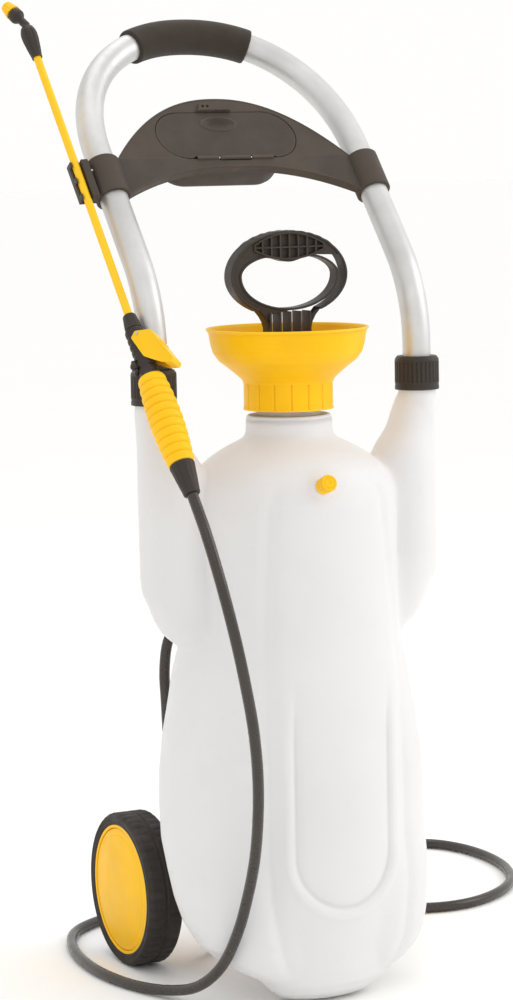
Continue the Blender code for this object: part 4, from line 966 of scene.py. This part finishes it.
def make_wheels(across):
    half = mm((68, 18.2), (70.5, 18.7), (71.2, 18.2), (74.5, 18.6), (75.2, 19), (76.5, 18.8), (79, 16.6),
              (80, 14.5), (80, 11), (80, 7.5), (80, 4), (80, 2), (79, 1.4))
    tyre = half + [(r, -z) for r, z in reversed(half)]
    rim = mm((67.7, 17.8), (67.7, -17.8), (64.5, -17.8), (63.5, -15), (63.2, -4), (60, -2.2), (18, -2.2),
             (14, -4.5), (12.5, -17), (12, -17.5), (AXLE_BORE, -17.5), (AXLE_BORE, 15), (13, 15), (13, 2.2),
             (64, 2.2), (64.5, 17.8))
    cap = mm((0, 21.2), (10, 21.1), (30, 20.4), (48, 19), (56, 18.1), (58, 17.4), (60, 17.6), (62.8, 17.1),
             (64.1, 16), (64.1, 12), (62, 12), (60, 15), (0, 18))
    axle = mm((0, 129.6), (5.2, 129.6), (6, 129), (6, -129), (5.2, -129.6), (0, -129.6))
    place(lathe("axle_bar", axle, 40, 0.0002), STEEL, "cart", "axle", across)
    for side, sign in SIDES:
        hub = shift((sign * WHEEL_X, AXLE_Y, WHEEL_R)) @ Matrix.Rotation(sign * pi / 2, 4, "Y")
        body = f"wheel_{side}"
        place(lathe(f"tyre_tread_{side}", tyre[::-1], 288, 0.0006, tread), TYRE, body, f"tyre_{side}", hub)
        parts = [lathe("rim", rim, 120, 0.0008)]
        for i in range(8):
            spoke = block("spoke", (0.013, -0.0014, -0.015), (0.064, 0.0014, -0.0018), 0.0006)
            parts.append(moved(spoke, Matrix.Rotation(pi * i / 4, 4, "Z")))
        place(joined(f"rim_spoked_{side}", parts), YELLOW, body, f"wheel_rim_{side}", hub)
        place(lathe(f"hub_dome_{side}", cap, 120, 0.0012), YELLOW, body, f"hub_cap_{side}", hub)
        end = across @ Matrix.Rotation(0 if sign > 0 else pi, 4, "Y")
        washer = mm((10.5, 129.3), (10.5, 128.3), (AXLE_BORE, 128.3), (AXLE_BORE, 129.3))
        place(lathe(f"push_nut_{side}", washer, 48, 0.0002, flutes(6, 0.0008)), STEEL, "cart",
              f"axle_retainer_{side}", end)
        sleeve = mm((9, 95.2), (9.5, 94.5), (9.5, 45), (9, 44.3), (AXLE_BORE, 44.3), (AXLE_BORE, 95.2))
        place(lathe(f"axle_sleeve_{side}", sleeve, 48, 0.0003), BLACK, "cart", f"axle_spacer_{side}", end)


def make_axle_bracket(across):
    side_on = Matrix.Rotation(pi / 2, 4, "Z") @ UPRIGHT       # local XY becomes YZ
    cheek = rounded(mm((138.5, 210), (152, 210), (214.5, 88), (213.5, 74), (204, 66.5), (193, 69),
                       (138.5, 141)), 0.006, 5)
    parts = [block("plate", (-0.046, BACK_Y + 0.0003, 0.138), (0.046, 0.1405, 0.212), 0.0012)]
    hub = mm((10, 4.2), (10, -4.2), (AXLE_BORE, -4.2), (AXLE_BORE, 4.2))
    for x in (-0.04, 0.04):
        parts.append(slab("cheek", (cheek,), x - 0.004, x + 0.004, 0.001, side_on))
        parts.append(moved(lathe("hub", hub, 48, 0.0006), across @ shift((0, 0, x))))
    parts.append(block("tie", (-0.042, 0.172, 0.118), (0.042, 0.178, 0.146), 0.0012))
    web = rounded(mm((139.5, 206), (145, 206), (177.5, 146), (177.5, 120), (139.5, 142)), 0.002)
    for x in (-0.0135, 0.0135):
        parts.append(slab("web", (web,), x - 0.0015, x + 0.0015, 0.0004, side_on))
    place(joined("axle_carrier", parts), BLACK, "cart", "axle_bracket")
    head = mm((0, 7.2), (3, 7), (4.2, 6.4), (4.8, 5.6), (4.8, 4.8), (2.1, 4.8), (2.1, -6.8), (0, -6.8))
    for side, sign in SIDES:
        at = shift((sign * 0.028, BACK_Y, 0.18)) @ Matrix.Rotation(-pi / 2, 4, "X")
        place(lathe(f"carrier_screw_{side}", head, 36, 0.0003), STEEL, "cart", f"bracket_screw_{side}", at)


AXLE_AT = shift((0, AXLE_Y, WHEEL_R)) @ SIDEWAYS
make_wheels(AXLE_AT)
make_axle_bracket(AXLE_AT)

# ---- funnel cap and pump ----
def skirt(turns, radius, height):
    """Sixteen thin upright grooves on the cap's skirt."""
    if radius[0] < 0.044 or not 0.5885 <= height <= 0.6135:
        return radius
    wave = 0.5 + 0.5 * np.cos(turns * 16)
    return radius - 0.0009 * np.clip((wave - 0.965) / 0.035, 0, 1) ** 0.5


def make_pump():
    funnel = mm((81.2, 668.3), (81.2, 666.2), (79, 664.8), (78.3, 661), (77, 653), (74.5, 644), (69, 636),
                (60, 629), (51, 621.5), (46.2, 617), (44.5, 613), (44.5, 605), (44.5, 595), (44.5, 589.5),
                (45.2, 588.5), (45.2, 587), (41.5, 587), (41.5, 608), (35.2, 608), (35.2, 587), (32.5, 587),
                (32.5, 616.5), (23.5, 616.5), (23.5, 620.5), (27, 620.5), (48, 623.5), (58, 630),
                (66, 637.8), (71, 645), (74.5, 656), (76.8, 666), (78.5, 668.3))
    place(lathe("funnel", funnel, 384, 0.0014, skirt), YELLOW, "pump_unit", "funnel_cap", NECK_AT)
    guide = mm((25.5, 626), (26.2, 625), (26.2, 620.8), (19.2, 620.8), (19.2, 600), (6.8, 600), (6.8, 626))
    place(lathe("rod_guide", guide, 96, 0.0005, flutes(12, 0.0008, 0.621, 0.6262)), BLACK, "pump_unit",
          "pump_guide", NECK_AT)
    rod = mm((0, 664), (5.5, 664), (6, 663.4), (6, 365), (5.5, 364.3), (0, 364.3))
    place(lathe("plunger_rod", rod, 40, 0.0002), STEEL, "pump_plunger", "pump_rod", NECK_AT)
    make_pump_handle()


HANDLE_MID = 0.7195
RING_X, RING_RISE, RING_DROP = 0.0645, 0.044, 0.041       # the ring's outside
HOLE_X, HOLE_RISE, HOLE_DROP = 0.0525, 0.0215, 0.032      # the opening in it
LENS_X, LENS_TOP, LENS_FOOT = 0.0405, 0.7612, 0.7362      # the grip pad's waffle field


def handle_outer(grow, scallop):
    """The ring's outside, open where the stem joins it, with finger scallops along its top."""
    points = []
    for i in range(-23, 96):
        turn = radians(i * 2.5)
        side, rise = cos(turn), sin(turn)
        x = (RING_X + grow) * side
        up = (RING_RISE if rise > 0 else RING_DROP) + grow
        bump = scallop * abs(sin(x * 330)) if rise > 0.7 else 0.0
        points.append((x, HANDLE_MID + up * rise + bump))
    return points


def handle_inner(grow):
    """The opening, with the grip pad bulging down into its top."""
    points = []
    for i in range(144):
        turn = radians(i * 2.5)
        side, rise = cos(turn), sin(turn)
        z = HANDLE_MID + ((HOLE_RISE if rise > 0 else HOLE_DROP) + grow) * rise
        bump = 0.008 * exp(-(side / 0.32) ** 2) if rise > 0 else 0.0
        points.append(((HOLE_X + grow) * side, z - bump))
    return points


def make_pump_handle():
    """An oval ring with waffle cells in its grip, raised rims, and a ribbed stem."""
    def lens_top(x, inset=0.0):
        return LENS_TOP - inset - 0.0125 * (x / LENS_X) ** 2

    def lens_low(x, inset=0.0):
        return LENS_FOOT + inset + 0.01 * (x / LENS_X) ** 2

    def lens(half, inset):
        spans = [half * sin(pi / 2 * i / 14) for i in range(-14, 15)]
        return [(x, lens_low(x, inset)) for x in spans] + [(x, lens_top(x, inset)) for x in reversed(spans)]

    flare = mm((-29.2, 679.5), (-25.8, 673.5), (-24, 667), (-23.2, 659), (-23.2, 632))
    stem = flare + [(-x, z) for x, z in reversed(flare)]
    ring = [handle_outer(-0.0006, 0.0006) + stem, handle_inner(0.0006), lens(0.0375, 0.0006)]
    parts = [upright_slab("ring", ring, -0.007, 0.007, 0.0018)]
    outer = handle_outer(0.0, 0.0007)
    band = outer + [(x * 0.958, HANDLE_MID + (z - HANDLE_MID) * 0.94) for x, z in reversed(outer)]
    # half thickness, bevel and outlines of the outer, inner and grip rims, and of the web behind the ribs
    plates = ((0.0084, 0.0009, (band,)),
              (0.0082, 0.0008, (handle_inner(0.0024), handle_inner(0.0))),
              (0.009, 0.0007, (lens(0.039, -0.0012), lens(0.0368, 0.0008))),
              (0.0045, 0.0004, (lens(0.0385, -0.0004),)))
    for half, bevel, outlines in plates:
        parts.append(upright_slab("plate", outlines, -half, half, bevel))
    spans = [0.0385 * (i / 14) for i in range(-14, 15)]
    middle = [(lens_top(x) + lens_low(x)) / 2 - 0.0012 * cos(x * 40) for x in spans]
    line = list(zip(spans, middle))
    rib = [(x, z - 0.0008) for x, z in line] + [(x, z + 0.0008) for x, z in reversed(line)]
    parts.append(upright_slab("long_rib", (rib,), -0.0085, 0.0085, 0.0004))
    for i in range(-3, 4):
        x = 0.0098 * i
        low, high = lens_low(x) - 0.001, lens_top(x) + 0.001
        parts.append(block("rib", (x - 0.0008, -0.0085, low), (x + 0.0008, 0.0085, high), 0.0004))
    for x in (-0.0218, -0.011, 0.0, 0.011, 0.0218):
        parts.append(block("stem_rib", (x - 0.0011, -0.0088, 0.6325), (x + 0.0011, 0.0088, 0.684), 0.0005))
    parts.append(block("foot", (-0.0228, -0.0078, 0.6325), (0.0228, 0.0078, 0.664), 0.001))
    place(joined("plunger_handle", parts), BLACK, "pump_plunger", "pump_handle", NECK_AT)


make_pump()


# ---- relief valve ----
def make_relief():
    seat = mm((7.2, 6.2), (8, 5.6), (8, 0.3), (5, 0.3), (5, -12), (1.5, -12), (1.5, -10.5), (3.6, -10.5),
              (3.6, -1), (1.8, -1), (1.8, 6.2))
    place(lathe("relief_seat", seat, 60, 0.0004), YELLOW, "cart", "relief_body", RELIEF_AT)
    knob = mm((0, 15.2), (1.8, 15.2), (2.4, 15.8), (4.6, 15.8), (5, 15.2), (5.8, 15.2), (6.4, 15.8),
              (7.6, 15.6), (8.4, 14.6), (8.4, 8), (7.8, 6.6), (1.4, 6.6), (1.4, -8), (3.2, -8), (3.2, -8.8),
              (0, -8.8))
    place(lathe("relief_button", knob, 120, 0.0003, flutes(20, 0.0005, 0.0075, 0.015)), YELLOW,
          "relief_pull", "relief_knob", RELIEF_AT)


make_relief()


# ---- liquid outlet ----
def make_outlet():
    back = shift(OUTLET) @ Matrix.Rotation(-pi / 2, 4, "X")
    drop_at = shift(OUTLET + Vector((0, 0.01, 0)))
    flange = mm((0, 17.2), (6.6, 17.2), (7.8, 16), (7.8, 4.4), (12.5, 4.4), (12.5, 0.3), (8, 0.3), (8, -48),
                (3.5, -48), (3.5, -10), (0, -10))
    drop = mm((0, 6.8), (6.2, 6.8), (7.2, 5.8), (7.2, -23.5), (0, -23.5))
    parts = [moved(lathe("flange", flange, 72, 0.0005, flutes(6, 0.0006, 0.0004, 0.0044)), back),
             moved(lathe("drop", drop, 72, 0.0006), drop_at)]
    place(joined("outlet_elbow", parts), BLACK, "cart", "outlet_fitting")
    nut = mm((0, -23.8), (7.5, -23.8), (7.5, -20), (10, -20), (10.4, -20.6), (10.4, -33), (9.6, -35),
             (7.8, -42.5), (7.2, -43), (0, -43))
    place(lathe("outlet_nut", nut, 96, 0.0004, flutes(12, 0.0007, -0.0328, -0.0208)), BLACK, "cart",
          "outlet_hose_nut", drop_at)


make_outlet()

# ---- lance ----
LANCE_AT = frame_of(LANCE_POINT, LANCE_UP, TRIGGER_SIDE)
NOZZLE_AT = LANCE_AT @ shift((0, 0, 0.1962)) @ Matrix.Rotation(-NOZZLE_BEND, 4, "X")
PIVOT = (0.0, -0.004, -0.186)             # of the trigger, in the lance's own frame


def make_lance():
    tube = mm((4, 165), (4, -172), (2.8, -172), (2.8, 165))
    place(lathe("lance_pipe", tube, 40, 0.0003), YELLOW, "lance", "lance_tube", LANCE_AT)
    nozzle_nut = mm((0, 192.5), (5, 192.5), (6.6, 191.5), (8, 187), (8.5, 183), (8.3, 177), (7, 166),
                    (5.5, 156), (5.4, 153.5), (4.3, 153.5), (4.3, 165.3), (0, 165.3))
    place(lathe("nozzle_socket", nozzle_nut, 96, 0.0008, flutes(8, 0.0007, 0.16, 0.185, 0.5)), BLACK,
          "lance", "nozzle_nut", LANCE_AT)
    elbow = mm((0, 21.5), (6.2, 21.5), (7.4, 20.3), (7.8, 18), (7.8, 14), (6.6, 11.8), (4.8, 10), (4.2, 8),
               (4.2, -2), (0, -2))
    neck = mm((0, 197.5), (4.2, 197.5), (4.2, 192.6), (0, 192.6))
    parts = [moved(lathe("ball", elbow, 72, 0.0008), NOZZLE_AT), moved(lathe("neck", neck, 48, 0), LANCE_AT)]
    place(joined("nozzle_bend", parts), BLACK, "lance", "nozzle_elbow")
    cap = mm((0, 34), (1.2, 34), (1.8, 35.2), (4.6, 35.2), (5.8, 34.2), (6.8, 29), (8, 23.2), (8, 21.8),
             (0, 21.8))
    place(lathe("nozzle_tip", cap, 96, 0.0003, flutes(12, 0.0004, 0.0222, 0.032)), YELLOW, "spray_cap",
          "nozzle_cap", NOZZLE_AT)
    lance_nut = mm((5.8, -159.8), (6.6, -161.2), (8.6, -173.5), (8.6, -176.2), (4.3, -176.2), (4.3, -159.8))
    place(lathe("pipe_nut", lance_nut, 96, 0.0004, flutes(10, 0.0006, -0.174, -0.163)), BLACK, "lance",
          "lance_nut", LANCE_AT)

    body = mm((0, -176.5), (8, -176.5), (9.2, -177.5), (9.8, -179))
    for i in range(6):
        z = -0.185 - i * 0.007
        body += [(0.0098, z + 0.0018), (0.0088, z + 0.001), (0.0088, z - 0.0012), (0.0098, z - 0.002)]
    body += mm((9.8, -230.9), (8, -230.9), (8, -333), (0, -333))
    valve = lathe("valve_housing", body, 96, 0.0004)
    flat, flat_top, flat_foot = 0.0083, -0.1755, -0.2245      # the cheeks of the trigger lie on two flats
    for vertex in valve.data.vertices:
        if flat_foot < vertex.co.z < flat_top:
            vertex.co.x = max(-flat, min(flat, vertex.co.x))
    place(valve, BLACK, "lance", "valve_body", LANCE_AT)

    top, bottom, ribs, end_r = -0.2312, -0.329, 11, 0.0083
    grip = [(end_r, top)]
    for i in range(ribs * 8 + 1):
        share = i / (ribs * 8)
        swell = 0.0125 + 0.0042 * sin(pi * min(1.0, share * 0.95 + 0.03)) ** 0.8
        wave = abs(sin(pi * ribs * share)) ** 0.7
        grip.append((swell - 0.0013 * (1 - wave), top + (bottom - top) * share))
    grip.append((end_r, bottom))
    place(lathe("grip_ribbed", grip, 72, 0, sharp=60), YELLOW, "lance", "grip_sleeve", LANCE_AT)
    hose_nut = mm((0, -333.3), (8.3, -333.3), (8.3, -329.3), (12.2, -329.3), (12.4, -331), (11.8, -335),
                  (10, -348), (8.4, -359), (8.4, -360.6), (7.6, -362), (0, -362))
    place(lathe("grip_hose_nut", hose_nut, 96, 0.0006, flutes(14, 0.0004, -0.356, -0.334, 0.4)), BLACK,
          "lance", "hose_nut", LANCE_AT)
    make_trigger()


def make_trigger():
    """A paddle with two cheeks round the valve, made as a shell of three plates."""
    turn = Matrix(((0, 0, -1, 0), (-1, 0, 0, 0), (0, 1, 0, 0), (0, 0, 0, 1)))      # X goes to -Y, Y to Z
    cheek = mm((-3, -184), (3, -179), (18.5, -185), (24, -203), (30.5, -224), (27.8, -227), (18.5, -223),
               (11, -216), (3, -208))
    face = mm((12, -182.6), (18.5, -185), (24, -203), (30.5, -224), (27.8, -227), (19.5, -223.2),
              (12.8, -201))
    parts = []
    for side in (-1, 1):
        low, high = sorted((side * 0.0088, side * 0.01))
        parts.append(slab("cheek", (rounded(cheek, 0.0016),), low, high, 0.0004, turn))
    parts.append(slab("face", (rounded(face, 0.0016),), -0.0099, 0.0099, 0.001, turn))
    for i in range(2):
        z = -0.199 - 0.003 * i
        out = 0.0185 + (abs(z) - 0.185) * 0.305
        low, high = (-0.0088, -out - 0.0008, z - 0.0005), (0.0088, -out + 0.001, z + 0.0005)
        parts.append(block("crease", low, high, 0.0003))
    trigger = moved(joined("trigger_paddle", parts), shift((0.001, 0, -0.0035)))
    place(trigger, YELLOW, "trigger_lever", "trigger", LANCE_AT)
    pin = mm((0, 12.7), (1.2, 12.7), (1.5, 12.3), (1.5, -10), (1.2, -10.4), (0, -10.4))
    pin_at = LANCE_AT @ shift(PIVOT) @ SIDEWAYS
    place(lathe("trigger_axle", pin, 32, 0.0001), STEEL, "lance", "trigger_pin", pin_at)


make_lance()

# ---- CAD pieces that keep their shape ----
KEPT = ((STEEL, ("lid_hinge_pin", "clip_screw_lower", "clip_screw_upper", "relief_spring", "trigger_spring",
                 "valve_stem")),
        (RUBBER, ("horn_seal_left", "horn_seal_right", "cap_gasket", "check_valve", "piston_cup",
                  "relief_seal")),
        (NATURAL, ("pump_barrel", "pump_piston", "pickup_tube")),
        (BLACK, ("outlet_locknut", "pickup_strainer")))
for kept_material, node_names in KEPT:
    for node_name in node_names:
        for material_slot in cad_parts[node_name].material_slots:
            material_slot.material = kept_material


# ---- stage ----
def stage_material():
    colour = linear(254, 254, 253)
    finish = Finish("studio paper", Specular_IOR_Level=0.2)
    finish.paint(tint(colour, 0.995), tint(colour, 1.0), 1.5)
    finish.gloss(0.75, 0.9, 4.0)
    return finish.done()


def make_stage():
    """A wide pale floor under a bright even sky, and three soft lights."""
    bm = bmesh.new()
    bmesh.ops.create_grid(bm, x_segments=8, y_segments=8, size=60.0)
    floor = finished("studio_floor", bm, 60)
    floor.data.materials.append(stage_material())

    world = bpy.data.worlds.new("soft sky")
    bpy.context.scene.world = world
    world.use_nodes = True
    background = world.node_tree.nodes["Background"]
    background.inputs["Color"].default_value = (1.0, 0.995, 0.985, 1.0)
    background.inputs["Strength"].default_value = 1.0
    for name, place_at, target, size, watts in (
            ("key", (2.4, -1.0, 1.9), (0, 0, 0.45), 1.8, 22),
            ("fill", (-1.2, -2.6, 2.4), (0, 0, 0.45), 1.6, 4),
            ("top", (0.2, 0.9, 2.7), (0, 0, 0.4), 1.4, 8)):
        data = bpy.data.lights.new(name, "AREA")
        data.shape = "SQUARE"
        data.size = size
        data.energy = watts
        lamp = linked(name, data)
        aim = (Vector(target) - Vector(place_at)).to_track_quat("-Z", "Y").to_matrix().to_4x4()
        lamp.matrix_world = shift(place_at) @ aim


make_stage()
bpy.context.scene.view_settings.view_transform = "Standard"
